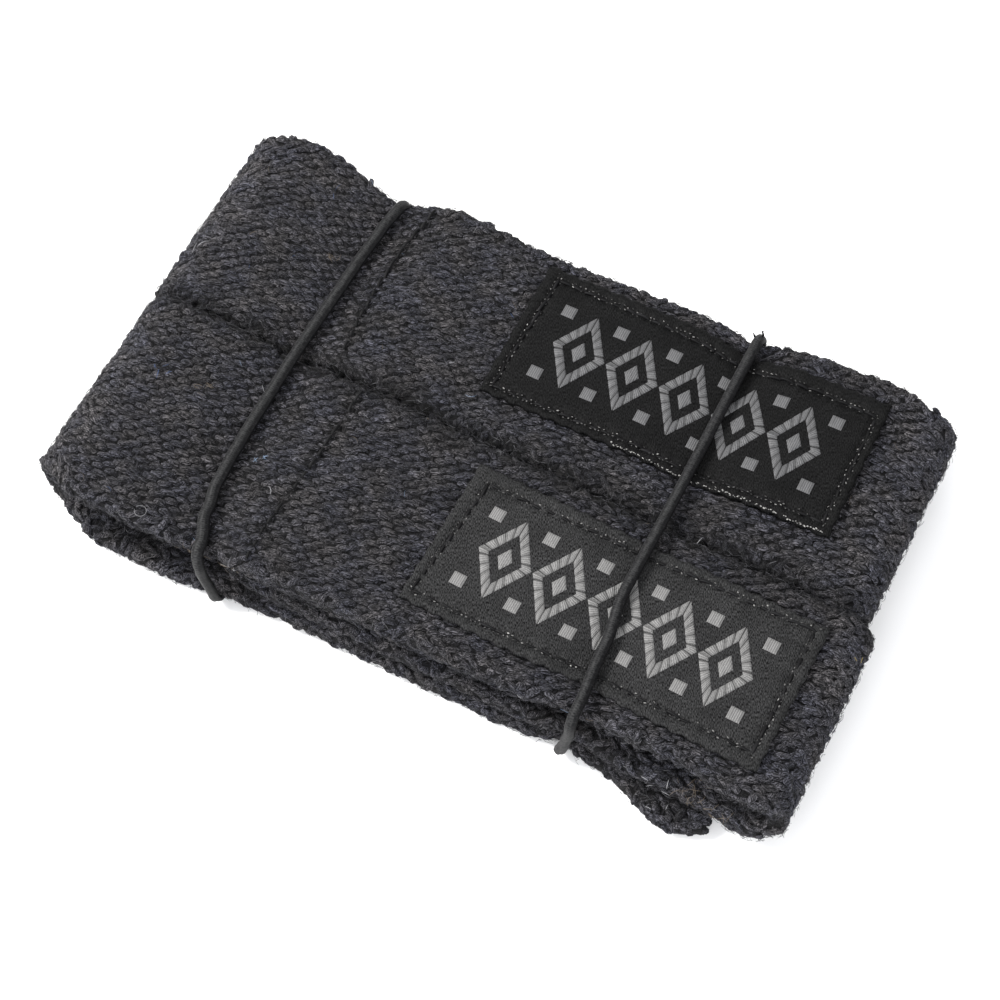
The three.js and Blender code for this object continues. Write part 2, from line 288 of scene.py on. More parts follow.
def squeezed(points):
    """The cords squeeze the stack from above, below and both sides."""
    x, y, z = points.T
    low = np.zeros(len(points))
    high = np.full(len(points), float(packet_height))
    inwards = np.zeros(len(points))
    for cord in cords.values():
        above = (x - cord_place(cord, y, True)) / squeeze_reach
        below = (x - cord_place(cord, y, False)) / squeeze_reach
        high = high - cord["squeeze"] * np.exp(-above**2)
        low = low + groove_depth * np.exp(-((below * squeeze_reach / groove_reach) ** 2))
        inwards = inwards + side_squeeze * np.exp(-(((above + below) / 2) ** 2))
    reach = packet_gap / 2 + web_width
    return np.stack([x, y * (1 - inwards / reach), low + z / packet_height * (high - low)], 1)


def folded_line(strap):
    """The webbing's middle line from its inner end to its outer one, with lengths along both its faces."""
    middle = strap["middle"]
    half = strap["length"] / 2
    level = dict(bottom=0, third=1, second=2, top=3)
    rows = []

    def height(run, x):
        return (0.5 + run_value(strap, run, "rise", x)) * web_thickness + level[run] * layer_pitch

    def add(run, x, z, nx, nz):
        outer = run_value(strap, run, "outer", x)
        slide = run_value(strap, run, "slide", x)
        rows.append(np.stack([x, z, nx, nz, outer, slide, np.full(len(x), level[run])], 1))

    def straight(run, start, stop):
        x = np.linspace(start, stop, int(abs(stop - start) / line_step) + 2)
        slope = (height(run, x + 1) - height(run, x - 1)) / 2
        facing = np.sign(stop - start) / np.hypot(1, slope)
        add(run, x, height(run, x), -slope * facing, facing)

    def turn(start_run, end_run, x, bulge):
        start, end = float(height(start_run, x)), float(height(end_run, x))
        radius = abs(end - start) / 2
        climb = np.sign(end - start)
        angle = np.arange(fold_step, math.pi - fold_step / 2, fold_step)
        outward, up = np.sin(angle), -climb * np.cos(angle)
        for run, part in ((start_run, angle < math.pi / 2), (end_run, angle >= math.pi / 2)):
            px = x + bulge * radius * outward[part]
            pz = (start + end) / 2 + radius * up[part]
            add(run, px, pz, -climb * outward[part], -bulge * climb * up[part])

    inner_fold = middle - half + inner_fold_inset + layer_pitch / 2 + web_thickness / 2
    right_fold = middle + half - layer_pitch - web_thickness / 2
    ends_rise = web_thickness * (strap["runs"]["top"]["rise"][0] - strap["runs"]["bottom"]["rise"][0])
    left_fold = middle - half + web_thickness / 2 + (3 * layer_pitch + ends_rise) / 2
    straight("second", middle + half - inner_end_inset, inner_fold)
    turn("second", "third", inner_fold, -1)
    straight("third", inner_fold, right_fold)
    turn("third", "top", right_fold, 1)
    straight("top", right_fold, left_fold)
    turn("top", "bottom", left_fold, -1)
    straight("bottom", left_fold, middle + half - tail_end_inset)
    table = np.concatenate(rows)
    line = dict(zip(("x", "z", "nx", "nz", "outer", "slide", "level"), table.T))
    for face, up in (("outside", -web_thickness / 2), ("middle", 0), ("inside", web_thickness / 2)):
        step = np.hypot(np.diff(line["x"] + up * line["nx"]), np.diff(line["z"] + up * line["nz"]))
        line[face] = np.concatenate([[0], np.cumsum(step)])
    line["inner_fold"] = inner_fold
    return line


def webbing_points(strap, face, s, edge, inset, up):
    """Points of a strap: s along a face, edge -1 to 1 across it, inset from that edge, up from the middle."""
    line = strap["line"]
    x, z, nx, nz, outer, slide = (
        np.interp(s, line[face], line[key]) for key in ("x", "z", "nx", "nz", "outer", "slide")
    )
    seam = packet_gap / 2 - strap["side"] * seam_lean * x / (front_length / 2) + web_width * slide
    rim = packet_gap / 2 + web_width * (1 + outer + slide)
    y = strap["side"] * (rim + seam) / 2 + edge * ((rim - seam) / 2 - inset)
    return squeezed(np.stack([x + nx * up, y, z + nz * up], 1)) + group_shift


def ribbon_faces(rings, count, looped=False):
    """Quads between rings of points, with flat ends or with the last ring joined to the first."""
    ring = np.arange(rings if looped else rings - 1)[:, None]
    here, after = ring * count, (ring + 1) % rings * count
    spot = np.arange(count)
    beside = (spot + 1) % count
    faces = np.stack([here + spot, here + beside, after + beside, after + spot], -1).reshape(-1, 4).tolist()
    if not looped:
        faces.append(list(range(count))[::-1])
        faces.append([(rings - 1) * count + k for k in range(count)])
    return faces


def outwards(piece):
    """Turns a closed piece's faces to point out of it."""
    work = bmesh.new()
    work.from_mesh(piece.data)
    bmesh.ops.recalc_face_normals(work, faces=work.faces)
    work.to_mesh(piece.data)
    work.free()


def mark(piece, name, values):
    """Stores a number or a vector for each of a piece's points."""
    kind, field = ("FLOAT_VECTOR", "vector") if np.ndim(values) == 2 else ("FLOAT", "value")
    layer = piece.data.attributes.new(name, kind, "POINT")
    layer.data.foreach_set(field, np.ravel(values).astype(np.float32))


# The group's middle is set by the front label, whose corners the squeeze doesn't reach
label_length = 68
label_width = 29.6
labels = {
    "front": dict(node="label_front", inset=7.6, setback=5.7, turn=math.radians(-1.3)),
    "back": dict(node="label_back", inset=12.6, setback=8.4, turn=math.radians(0.7)),
}
for name, label in labels.items():
    strap = straps[name]
    label["x"] = strap["middle"] + strap["length"] / 2 - label["inset"] - label_length / 2
    label["y"] = strap["side"] * (packet_gap / 2 + label["setback"] + label_width / 2)
front_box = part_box("label_front")
group_shift = np.array([
    (front_box[0].x + front_box[1].x) / 2 / MM - labels["front"]["x"],
    (front_box[0].y + front_box[1].y) / 2 / MM - labels["front"]["y"],
    0,
])


def in_group(points):
    """Points' X and Y before the shift of the whole group."""
    return points[:, 0] - group_shift[0], points[:, 1] - group_shift[1]


def add_node(tree, kind, inputs=None, **settings):
    """A new node with its settings; an input is a plain value or another node's output."""
    made = tree.nodes.new(kind)
    for name, value in settings.items():
        setattr(made, name, value)
    for name, value in (inputs or {}).items():
        if isinstance(value, bpy.types.NodeSocket):
            tree.links.new(value, made.inputs[name])
        else:
            made.inputs[name].default_value = value
    return made


def math_node(tree, operation, *values):
    """The output of one math node."""
    return add_node(tree, "ShaderNodeMath", dict(enumerate(values)), operation=operation).outputs[0]


def vector_node(tree, operation, vector, other):
    """The output of one vector math node, whose second value is a number where it scales."""
    second = "Scale" if operation == "SCALE" else 1
    return add_node(tree, "ShaderNodeVectorMath", {0: vector, second: other}, operation=operation).outputs[0]


def turned_node(tree, vector, angle):
    """A vector turned about Z."""
    inputs = {"Vector": vector, "Angle": angle}
    return add_node(tree, "ShaderNodeVectorRotate", inputs, rotation_type="Z_AXIS").outputs[0]


def attribute(tree, name, output="Vector"):
    """What a piece's points store under a name."""
    return add_node(tree, "ShaderNodeAttribute", attribute_name=name).outputs[output]


def object_place(tree):
    """Where a point is in its object, in metres."""
    return add_node(tree, "ShaderNodeTexCoord").outputs["Object"]


def noise_node(tree, vector, scale, **inputs):
    """The value of a noise texture."""
    return add_node(tree, "ShaderNodeTexNoise", {"Vector": vector, "Scale": scale, **inputs}).outputs["Fac"]


def ramp_node(tree, factor, *stops):
    """The output of a colour ramp with the given places and colours in order."""
    made = add_node(tree, "ShaderNodeValToRGB", {"Fac": factor})
    elements = made.color_ramp.elements
    for element, (place, colour) in zip((elements[0], elements[1]), (stops[0], stops[-1])):
        element.position = place
        element.color = (*colour, 1)
    for place, colour in stops[1:-1]:
        elements.new(place).color = (*colour, 1)
    return made.outputs[0]


def dress(tree, shader, colour, height, strength, depth):
    """Gives a shader its colour and a bump, whose depth is in millimetres."""
    bump = add_node(tree, "ShaderNodeBump", {"Height": height, "Strength": strength, "Distance": depth * MM})
    tree.links.new(colour, shader.inputs["Base Color"])
    tree.links.new(bump.outputs["Normal"], shader.inputs["Normal"])


def yarn_material(name):
    """Cotton yarn: clumps of twisted fibres, a tone for each float that holds painted shade and light as well
    as random differences, and blue and brown dye patches.
    """
    material, shader = new_material(name, roughness=0.92, sheen=0.03, specular=0.12)
    tree = material.node_tree
    place = object_place(tree)
    cells = add_node(tree, "ShaderNodeTexVoronoi", {"Vector": place, "Scale": clumps_per_metre})
    clump = cells.outputs["Color"]
    way = add_node(tree, "ShaderNodeSeparateColor", {0: clump})
    least, most = fibre_matting
    spread = add_node(
        tree, "ShaderNodeMapRange",
        {"Value": attribute(tree, "felt", "Fac"), "To Min": 2 * least, "To Max": 2 * most},
    )
    to_side = math_node(tree, "SUBTRACT", way.outputs[0], 0.5)
    angle = math_node(tree, "MULTIPLY_ADD", to_side, spread.outputs[0], -fibre_twist)
    drawn = vector_node(tree, "MULTIPLY", turned_node(tree, attribute(tree, "fibre"), angle), fibre_grain)
    apart = vector_node(tree, "MULTIPLY", clump, clump_offsets)
    streak_place = vector_node(tree, "ADD", drawn, apart)
    streaks = noise_node(tree, streak_place, 1.0, Detail=1.5, Roughness=0.5, Distortion=0.6)
    cotton = ramp_node(tree, streaks, (0.4, yarn_dark), (0.52, yarn_mid), (0.65, yarn_light))
    patches = noise_node(tree, place, dye_patches_per_metre, Detail=3)
    heather = ramp_node(tree, patches, (0.36, blue_cast), (0.64, brown_cast))
    # The stored tone brightens or darkens the yarn: random differences, painted shade and painted light
    shade = add_node(
        tree, "ShaderNodeMapRange",
        {"Value": attribute(tree, "tone", "Fac"), "To Min": 0.7, "To Max": 1.3}, clamp=False,
    )
    dyed = add_node(
        tree, "ShaderNodeMix", {"Factor": 1.0, 6: cotton, 7: heather}, data_type="RGBA", blend_type="MULTIPLY"
    )
    toned = vector_node(tree, "SCALE", dyed.outputs[2], shade.outputs[0])
    dress(tree, shader, toned, streaks, strength=0.9, depth=0.4)
    return material


yarn = yarn_material("charcoal cotton yarn")
for name, strap in straps.items():
    strap["line"] = folded_line(strap)
    line = strap["line"]
    strap["cut_length"] = line["middle"][-1]
    half_thick = web_thickness / 2 - core_inset
    section = []
    for edge in (1, -1):
        for k in range(core_round_steps + 1):
            angle = math.pi * k / core_round_steps
            inset = core_inset + (edge_round - core_inset) * (1 - math.sin(angle))
            section.append((edge, inset, edge * math.cos(angle) * half_thick))
        for k in range(1, core_across_steps):
            section.append((edge * (1 - 2 * k / core_across_steps), edge_round, -edge * half_thick))
    stations = np.linspace(core_inset, strap["cut_length"] - core_inset, int(strap["cut_length"] / core_step))
    edge, inset, up = (np.tile(column, len(stations)) for column in np.array(section).T)
    points = webbing_points(strap, "middle", np.repeat(stations, len(section)), edge, inset, up)
    piece = mesh_piece(f"{name}_webbing", points, ribbon_faces(len(stations), len(section)), yarn)
    outwards(piece)
    unrolled = np.cumsum(np.concatenate([[0], np.hypot(*np.diff(np.array(section)[:, 1:], axis=0).T) + 1]))
    along = np.repeat(stations, len(section))
    mark(piece, "fibre", np.stack([along, np.tile(unrolled, len(stations)), np.zeros(len(along))], 1))
    mark(piece, "felt", np.ones(len(along)))
    # a dark tone for the dark weft and painted deep shade in the gaps
    mark(piece, "tone", np.full(len(along), core_weft_and_shade_tone))
    strap["piece"] = piece


# The weave's surface is fat two-ply cotton yarns that float over two picks of
# weft and dive under the next, in columns along the webbing. Neighbouring
# columns are half a repeat apart, which leaves small dark holes between them.
face_columns = 35
edge_columns = 5
float_pitch = 2.9
float_length = 3.15
float_width = 1.3
float_height = 0.85
float_dive = 0.42
float_proud = 0.14
edge_proud = 0.03
float_sides = 5
float_rings = {"face": 5, "edge": 4}
float_bluntness = 0.26
float_yaw = math.radians(6)
float_slip = 0.14
float_turn = math.radians(9)
turn_shares = (0.8, 0.6, 1)
slip_shares = (1, 1, 0.7)
first_float = 0.3
last_float = 0.4
row_wave = 0.28
column_wave = 0.2
look_ahead = 0.6
inner_fold_seen = 4
right_fold_seen = 9
inner_edge_seen = 3
hollow_reach = 8
outer_columns = 3
sewn_groove = 0.4
sewn_groove_reach = 0.9
under_sunk = 0.3
least_float_height = 0.95 * float_height
matted_reach = (6, 3.5, 2.4)
matted_yaw = 0.7
matted_slip = 0.16
fill_pitch = 1.6
fill_depth = (1.5, 2.8)
fill_inset = 0.1
fill_wander = 0.5
# Painted shade in the yarn's tone along the seam valley, and how far it reaches
seam_painted_shade = 1.4
seam_painted_shade_reach = 2.2
# Painted shade in the yarn's tone on faces that face another layer
within_painted_shade = 0.6
end_light = 0.65
end_light_reach = 10
# Painted light on the outer edges' upward faces, and painted shade on their downward ones
painted_rim_light = 0.4
label_margin = 1.6
random = np.random.default_rng(11)


def set_inputs(modifier, values):
    """Sets a Geometry Nodes modifier's named inputs through their identifiers."""
    for item in modifier.node_group.interface.items_tree:
        if item.in_out == "INPUT" and item.name in values:
            modifier[item.identifier] = values[item.name]


def new_tree(name, inputs):
    """An empty Geometry Nodes tree with named inputs, and its input and output nodes."""
    tree = bpy.data.node_groups.new(name, "GeometryNodeTree")
    for label_name, kind in inputs.items():
        tree.interface.new_socket(label_name, in_out="INPUT", socket_type=f"NodeSocket{kind}")
    tree.interface.new_socket("Result", in_out="OUTPUT", socket_type="NodeSocketGeometry")
    return tree, tree.nodes.new("NodeGroupInput").outputs, tree.nodes.new("NodeGroupOutput").inputs


def end_tree(tree, geometry, result, material):
    """Realizes the instances, shades them smooth and gives them their material."""
    real = add_node(tree, "GeometryNodeRealizeInstances", {"Geometry": geometry})
    smooth = add_node(tree, "GeometryNodeSetShadeSmooth", {"Geometry": real.outputs[0]})
    painted = add_node(tree, "GeometryNodeSetMaterial", {"Geometry": smooth.outputs[0], "Material": material})
    tree.links.new(painted.outputs[0], result["Result"])


def grown(piece, tree, material, values):
    """Runs a Geometry Nodes tree on a piece and keeps the result as its plain mesh."""
    modifier = piece.modifiers.new(tree.name, "NODES")
    modifier.node_group = tree
    set_inputs(modifier, values)
    graph = bpy.context.evaluated_depsgraph_get()
    mesh = bpy.data.meshes.new_from_object(
        piece.evaluated_get(graph), preserve_all_data_layers=True, depsgraph=graph
    )
    piece.modifiers.clear()
    piece.data = mesh
    piece.data.name = piece.name
    if not mesh.materials:
        mesh.materials.append(material)
    return piece


def laid_tree(name, inputs, make, material):
    """One instance of what make builds on each point, turned by its ahead and out, with random errors."""
    tree, given, result = new_tree(name, {
        "Points": "Geometry", **inputs, "Slip": "Float", "Turn": "Float", "Seed": "Int",
    })
    ahead, out, size = (
        add_node(tree, "GeometryNodeInputNamedAttribute", {"Name": key}, data_type="FLOAT_VECTOR").outputs[0]
        for key in ("ahead", "out", "size")
    )
    facing = add_node(
        tree, "FunctionNodeAxesToRotation", {"Primary Axis": out, "Secondary Axis": ahead},
        primary_axis="Z", secondary_axis="X",
    )
    errors = []
    for key, shares, step in (("Turn", turn_shares, 0.0), ("Slip", slip_shares, 1.0)):
        low = vector_node(tree, "SCALE", [-share for share in shares], given[key])
        high = vector_node(tree, "SCALE", shares, given[key])
        seed = math_node(tree, "ADD", given["Seed"], step)
        errors.append(add_node(
            tree, "FunctionNodeRandomValue", {0: low, 1: high, "Seed": seed}, data_type="FLOAT_VECTOR"
        ).outputs[0])
    spin = add_node(tree, "FunctionNodeEulerToRotation", {0: errors[0]})
    turned = add_node(
        tree, "FunctionNodeRotateRotation", {0: facing.outputs[0], 1: spin.outputs[0]}, rotation_space="LOCAL"
    )
    loose = add_node(tree, "GeometryNodeSetPosition", {"Geometry": given["Points"], "Offset": errors[1]})
    laid = add_node(
        tree, "GeometryNodeInstanceOnPoints",
        {"Points": loose.outputs[0], "Instance": make(tree, given),
         "Rotation": turned.outputs[0], "Scale": size},
    )
    end_tree(tree, laid.outputs[0], result, material)
    return tree


def yarn_float(tree, given):
    """A plump float with blunt ends that dive into the weave, and its fibres' own coordinates."""
    ball = add_node(
        tree, "GeometryNodeMeshUVSphere", {"Segments": float_sides, "Rings": given["Rings"], "Radius": 1.0}
    )
    lying = add_node(
        tree, "GeometryNodeTransform", {"Geometry": ball.outputs["Mesh"], "Rotation": (0, -math.pi / 2, 0)}
    )
    place = add_node(tree, "GeometryNodeInputPosition").outputs[0]
    x, y, z = add_node(tree, "ShaderNodeSeparateXYZ", {0: place}).outputs
    squared = math_node(tree, "MULTIPLY", x, x)
    rest = math_node(tree, "MAXIMUM", math_node(tree, "SUBTRACT", 1.0, squared), 0.1)
    plump = math_node(tree, "POWER", rest, -float_bluntness)
    half = {key: math_node(tree, "MULTIPLY", given[key], 0.5) for key in ("Length", "Width", "Height")}
    long = math_node(tree, "MULTIPLY", x, half["Length"])
    wide = math_node(tree, "MULTIPLY", y, math_node(tree, "MULTIPLY", plump, half["Width"]))
    tall = math_node(tree, "MULTIPLY", z, math_node(tree, "MULTIPLY", plump, half["Height"]))
    bent = math_node(tree, "SUBTRACT", tall, math_node(tree, "MULTIPLY", squared, given["Dive"]))
    shaped = add_node(tree, "ShaderNodeCombineXYZ", {"X": long, "Y": wide, "Z": bent})
    body = add_node(
        tree, "GeometryNodeSetPosition", {"Geometry": lying.outputs[0], "Position": shaped.outputs[0]}
    )
    marked = add_node(
        tree, "GeometryNodeStoreNamedAttribute",
        {"Geometry": body.outputs[0], "Name": "fibre", "Value": vector_node(tree, "SCALE", place, 1 / MM)},
        data_type="FLOAT_VECTOR", domain="POINT",
    )
    return marked.outputs[0]


def points_piece(name, points, **values):
    """Loose points in millimetres, with what a tree needs to grow things stored on them."""
    mesh = bpy.data.meshes.new(name)
    mesh.from_pydata((points * MM).tolist(), [], [])
    piece = bpy.data.objects.new(name, mesh)
    scene.collection.objects.link(piece)
    for key, stored in values.items():
        mark(piece, key, stored)
    return piece


def label_place(label, points):
    """Where points are in a label's own length and width."""
    x, y = in_group(points)
    x, y = x - label["x"], y - label["y"]
    cos, sin = math.cos(label["turn"]), math.sin(label["turn"])
    return x * cos + y * sin, -x * sin + y * cos


def unit(vectors):
    """The vectors at length one."""
    return vectors / np.linalg.norm(vectors, axis=1)[:, None]


def square_to(ahead, out):
    """The unit vectors nearest to out that stand square to ahead."""
    return unit(out - ahead * (out * ahead).sum(1)[:, None])


def crossings(name, strap):
    """Every float that can be seen: its place, direction and outward side, whether it is on the
    outer face, whether on a face towards another layer, and how matted it is."""
    line = strap["line"]
    side = strap["side"]
    count = 2 * (face_columns + edge_columns)
    found = []
    for column in range(count):
        k = column % (face_columns + edge_columns)
        in_edge = k - face_columns
        rim = column < face_columns + edge_columns
        if in_edge >= 0:
            angle = math.pi * (in_edge + 0.5) / edge_columns
            if not rim:
                angle = math.pi - angle
            edge = side if rim else -side
            inset = edge_round * (1 - math.sin(angle))
            up = -math.cos(angle) * web_thickness / 2
            lean = (edge * math.sin(angle) / edge_round, -math.cos(angle) / (web_thickness / 2))
        else:
            edge = side * (-1 + (2 * k + 1) / face_columns) * (1 if rim else -1)
            inset = edge_round
            up = -web_thickness / 2 if rim else web_thickness / 2
            lean = (0, np.sign(up))
        face = "outside" if up < 0 else "inside"
        whole = line[face][-1]
        s = np.arange(float_pitch * (first_float + 0.5 * (column % 2)), whole - last_float, float_pitch)
        s = s + row_wave * np.sin(s * 0.21 + column * 0.33) + column_wave * math.sin(column * 1.7)
        x = np.interp(s, line[face], line["x"])
        level = np.round(np.interp(s, line[face], line["level"]))
        inner = level % 3 != 0
        near_inner_fold = inner & (x < line["inner_fold"] + inner_fold_seen)
        right_end = strap["middle"] + strap["length"] / 2
        right_fold_side = inner & (level == 1) & (x > right_end - right_fold_seen)
        hollow = ~inner & (x < line["inner_fold"] + hollow_reach)
        if in_edge < 0 and rim:
            seen = ~inner | near_inner_fold | right_fold_side | (k >= face_columns - outer_columns)
        elif in_edge < 0:
            seen = hollow | (k < outer_columns)
        elif rim:
            seen = np.full(len(s), True)
        else:
            seen = ~inner | (in_edge >= inner_edge_seen) & near_inner_fold
        s = s[seen]
        if not len(s):
            continue
        at = webbing_points(strap, face, s, edge, inset, up)
        ahead = unit(
            webbing_points(strap, face, s + look_ahead, edge, inset, up)
            - webbing_points(strap, face, s - look_ahead, edge, inset, up)
        )
        nx, nz = (np.interp(s, line[face], line[key]) for key in ("nx", "nz"))
        out = unit(np.stack([nx * lean[1], np.full(len(s), lean[0]), nz * lean[1]], 1))
        out = square_to(ahead, out)
        on_top = (level[seen] == 3) & (in_edge < 0) & rim
        along_label, across_label = label_place(labels[name], at)
        covered = (
            on_top
            & (abs(along_label) < label_length / 2 - label_margin)
            & (abs(across_label) < label_width / 2 - label_margin)
        )
        sewn_x = np.interp(edge, strap["sewn_across"], strap["sewn_x"])
        groove = on_top * sewn_groove * np.exp(-(((at[:, 0] - sewn_x) / sewn_groove_reach) ** 2))
        underside = (level[seen] == 0) & (out[:, 2] < -0.5)
        proud = float_proud if in_edge < 0 else edge_proud
        at = at + out * (proud - float_height / 2 - groove - under_sunk * underside)[:, None]
        flags = np.tile((in_edge < 0 and rim, in_edge < 0 and not rim), (len(s), 1))
        keep = ~covered
        found.append((at[keep], ahead[keep], out[keep], flags[keep]))
    found.append(seam_fill(strap))
    at, ahead, out, flags = (np.concatenate(part) for part in zip(*found))
    on_face, within = flags.T
    felt = matted(strap, at, on_face)
    yaw = float_yaw + random.normal(0, matted_yaw, len(at)) * felt
    ahead = ahead * np.cos(yaw)[:, None] + np.cross(out, ahead) * np.sin(yaw)[:, None]
    at = at + random.normal(0, matted_slip, (len(at), 3)) * felt[:, None]
    at[:, 2] = np.maximum(at[:, 2], least_float_height)
    return at, ahead, out, on_face, within, felt


def matted(strap, at, on_face):
    """How matted the yarn is: most at the seam and on the edges, and some at the folds and the outer rim."""
    x, y = in_group(at)
    to_end = strap["length"] / 2 - abs(x - strap["middle"])
    to_edge = packet_gap / 2 + web_width + 1 - abs(y)
    ends, edges, seam = (
        np.exp(-((distance / reach) ** 2))
        for distance, reach in zip((to_end, to_edge, seam_distance(at)), matted_reach)
    )
    return np.clip(np.maximum(seam, 0.5 * ~on_face) + 0.5 * ends + 0.45 * edges, 0, 1)


def seam_distance(points):
    """How far points are from the seam between the packets, seen from above."""
    x, y = in_group(points)
    return abs(y + seam_lean * x / (front_length / 2))


def seam_fill(strap):
    """Matted yarn that fills the top of the seam from one strap's side."""
    line = strap["line"]
    top = np.flatnonzero(line["level"] == 3)
    s = np.arange(line["outside"][top[0]] + 2, line["outside"][top[-1]] + 6, fill_pitch)
    s = s + random.normal(0, fill_wander, len(s))
    up = -web_thickness / 2 + random.uniform(*fill_depth, len(s))
    at = webbing_points(strap, "outside", s, -strap["side"], fill_inset, up)
    ahead = unit(webbing_points(strap, "outside", s + look_ahead, -strap["side"], fill_inset, up) - at)
    out = np.tile((0.0, 0.5 * -strap["side"], 1.0), (len(s), 1))
    return at, ahead, square_to(ahead, out), np.full((len(s), 2), False)


def yarn_tones(strap, at, out, on_face, within):
    """A tone for each float: random, with painted shade in the seam and on faces towards another layer,
    lighter at the ends, and up the outer edges painted light on faces turned up and painted shade on faces
    turned down.
    """
    to_end = strap["length"] / 2 - abs(in_group(at)[0] - strap["middle"])
    on_rim = ~on_face & (seam_distance(at) > web_width / 2)
    return (
        random.random(len(at)) - seam_painted_shade * np.exp(-((seam_distance(at) / seam_painted_shade_reach) ** 2))
        - within_painted_shade * within + end_light * np.exp(-((to_end / end_light_reach) ** 2))
        # painted light and shade by which way each edge float faces
        + painted_rim_light * on_rim * np.clip(out[:, 2] + 0.1, -0.6, 1)
    )


float_inputs = {**dict.fromkeys(("Length", "Width", "Height", "Dive"), "Float"), "Rings": "Int"}
floats = laid_tree("woven floats", float_inputs, yarn_float, yarn)
float_values = {
    "Length": float_length * MM, "Width": float_width * MM, "Height": float_height * MM,
    "Dive": float_dive * MM, "Slip": float_slip * MM, "Turn": float_turn,
}
for number, (name, strap) in enumerate(straps.items()):
    at, ahead, out, on_face, within, felt = crossings(name, strap)
    size = np.clip(random.normal(1, 0.14, (len(at), 3)), 0.7, 1.4)
    tone = yarn_tones(strap, at, out, on_face, within)
    strap["crossings"] = (at, ahead, out, felt)
    strap["yarns"] = []
    for part, chosen in (("face", on_face), ("edge", ~on_face)):
        lattice = points_piece(
            f"{name}_{part}_yarns", at[chosen], ahead=ahead[chosen], out=out[chosen], size=size[chosen],
            tone=tone[chosen], felt=felt[chosen],
        )
        values = {**float_values, "Rings": float_rings[part], "Seed": 20 + number}
        strap["yarns"].append(grown(lattice, floats, yarn, values))


# Raised cotton fibres lie over the yarns and blur every outline: short ones
# along the yarns, and longer curled ones that are matted on the sides.
hair_kinds = {
    "lying": dict(count=15000, length=1.3, lift=0.0, curl=0.0, radius=0.055, steps=1, stray=0.35, least=0.45),
    "curled": dict(count=3500, length=1.7, lift=0.22, curl=0.5, radius=0.028, steps=3, stray=1.6, least=0.12),
}
hair_sides = 3
hair_floor = 0.6
hair_along = 1.3
hair_across = 0.4
hair_lean = 0.12
hair_sunk = -0.05
hair_colours = ((0.01, 0.01, 0.0115), (0.045, 0.045, 0.049), (0.145, 0.144, 0.153))


def thread_tube(tree, line, radius, sides):
    """A closed tube along a curve."""
    section = add_node(tree, "GeometryNodeCurvePrimitiveCircle", {"Resolution": sides, "Radius": radius})
    tube = add_node(
        tree, "GeometryNodeCurveToMesh",
        {"Curve": line.outputs[0], "Profile Curve": section.outputs[0], "Fill Caps": True},
    )
    return tube.outputs[0]


def hair_maker(kind):
    """What builds one hair of a kind: a straight sliver, or a curve with both ends in the yarn."""
    length, lift, curl = (hair_kinds[kind][key] * MM for key in ("length", "lift", "curl"))
    steps = hair_kinds[kind]["steps"]

    def sliver(tree, given):
        spike = add_node(
            tree, "GeometryNodeMeshCone",
            {"Vertices": hair_sides, "Radius Top": 0.0, "Radius Bottom": given["Radius"], "Depth": length},
        )
        lying = add_node(
            tree, "GeometryNodeTransform",
            {"Geometry": spike.outputs["Mesh"], "Translation": (-length / 2, 0, 0),
             "Rotation": (0, math.pi / 2, 0)},
        )
        return lying.outputs[0]

    def curl_of_hair(tree, given):
        line = add_node(
            tree, "GeometryNodeCurvePrimitiveBezierSegment",
            {"Resolution": steps, "Start": (-length / 2, 0, hair_sunk * MM),
             "Start Handle": (-length / 6, curl, lift), "End Handle": (length / 6, -curl, lift * 1.6),
             "End": (length / 2, curl * 0.4, hair_sunk * MM)},
        )
        return thread_tube(tree, line, given["Radius"], hair_sides)

    return sliver if steps == 1 else curl_of_hair


def toned_material(name, colours, roughness, specular=0.15):
    """Threads or hairs that each take one tone from a short scale."""
    material, shader = new_material(name, roughness=roughness, specular=specular)
    tree = material.node_tree
    speckle = noise_node(tree, object_place(tree), scale=2600)
    mixed = math_node(tree, "MULTIPLY_ADD", speckle, 0.3, attribute(tree, "tone", "Fac"))
    dark, middle, light = colours
    colour = ramp_node(tree, mixed, (0.15, dark), (0.6, middle), (1, light))
    tree.links.new(colour, shader.inputs["Base Color"])
    return material


def hair_roots(strap, kind):
    """Points for one kind of hair on a strap's yarns, and which way each one lies."""
    at, ahead, out, felt = strap["crossings"]
    settings = hair_kinds[kind]
    open_side = (at[:, 2] > 2.5) | (out[:, 2] > -0.2)
    weight = (settings["least"] + felt) * open_side
    chosen = random.choice(len(at), settings["count"], p=weight / weight.sum())
    at, ahead, out = at[chosen], ahead[chosen], out[chosen]
    count = len(at)
    across = np.cross(out, ahead)
    yaw = fibre_twist + random.normal(0, 1, count) * np.maximum(settings["stray"], 1.3 * felt[chosen])
    lean = random.normal(0, hair_lean, count)
    start = (
        at + ahead * random.uniform(-hair_along, hair_along, (count, 1))
        + across * random.uniform(-hair_across, hair_across, (count, 1))
        + out * random.uniform(float_height / 2 - 0.08, float_height / 2 + 0.1, (count, 1))
    )
    start[:, 2] = np.maximum(start[:, 2], hair_floor)
    forward = unit(ahead * np.cos(yaw)[:, None] + across * np.sin(yaw)[:, None] + out * lean[:, None])
    lifted = square_to(forward, out)
    size = np.stack([
        random.uniform(0.5, 1.6, count), random.uniform(-1.2, 1.2, count), random.uniform(0.5, 1.4, count),
    ], 1)
    return start, forward, lifted, size


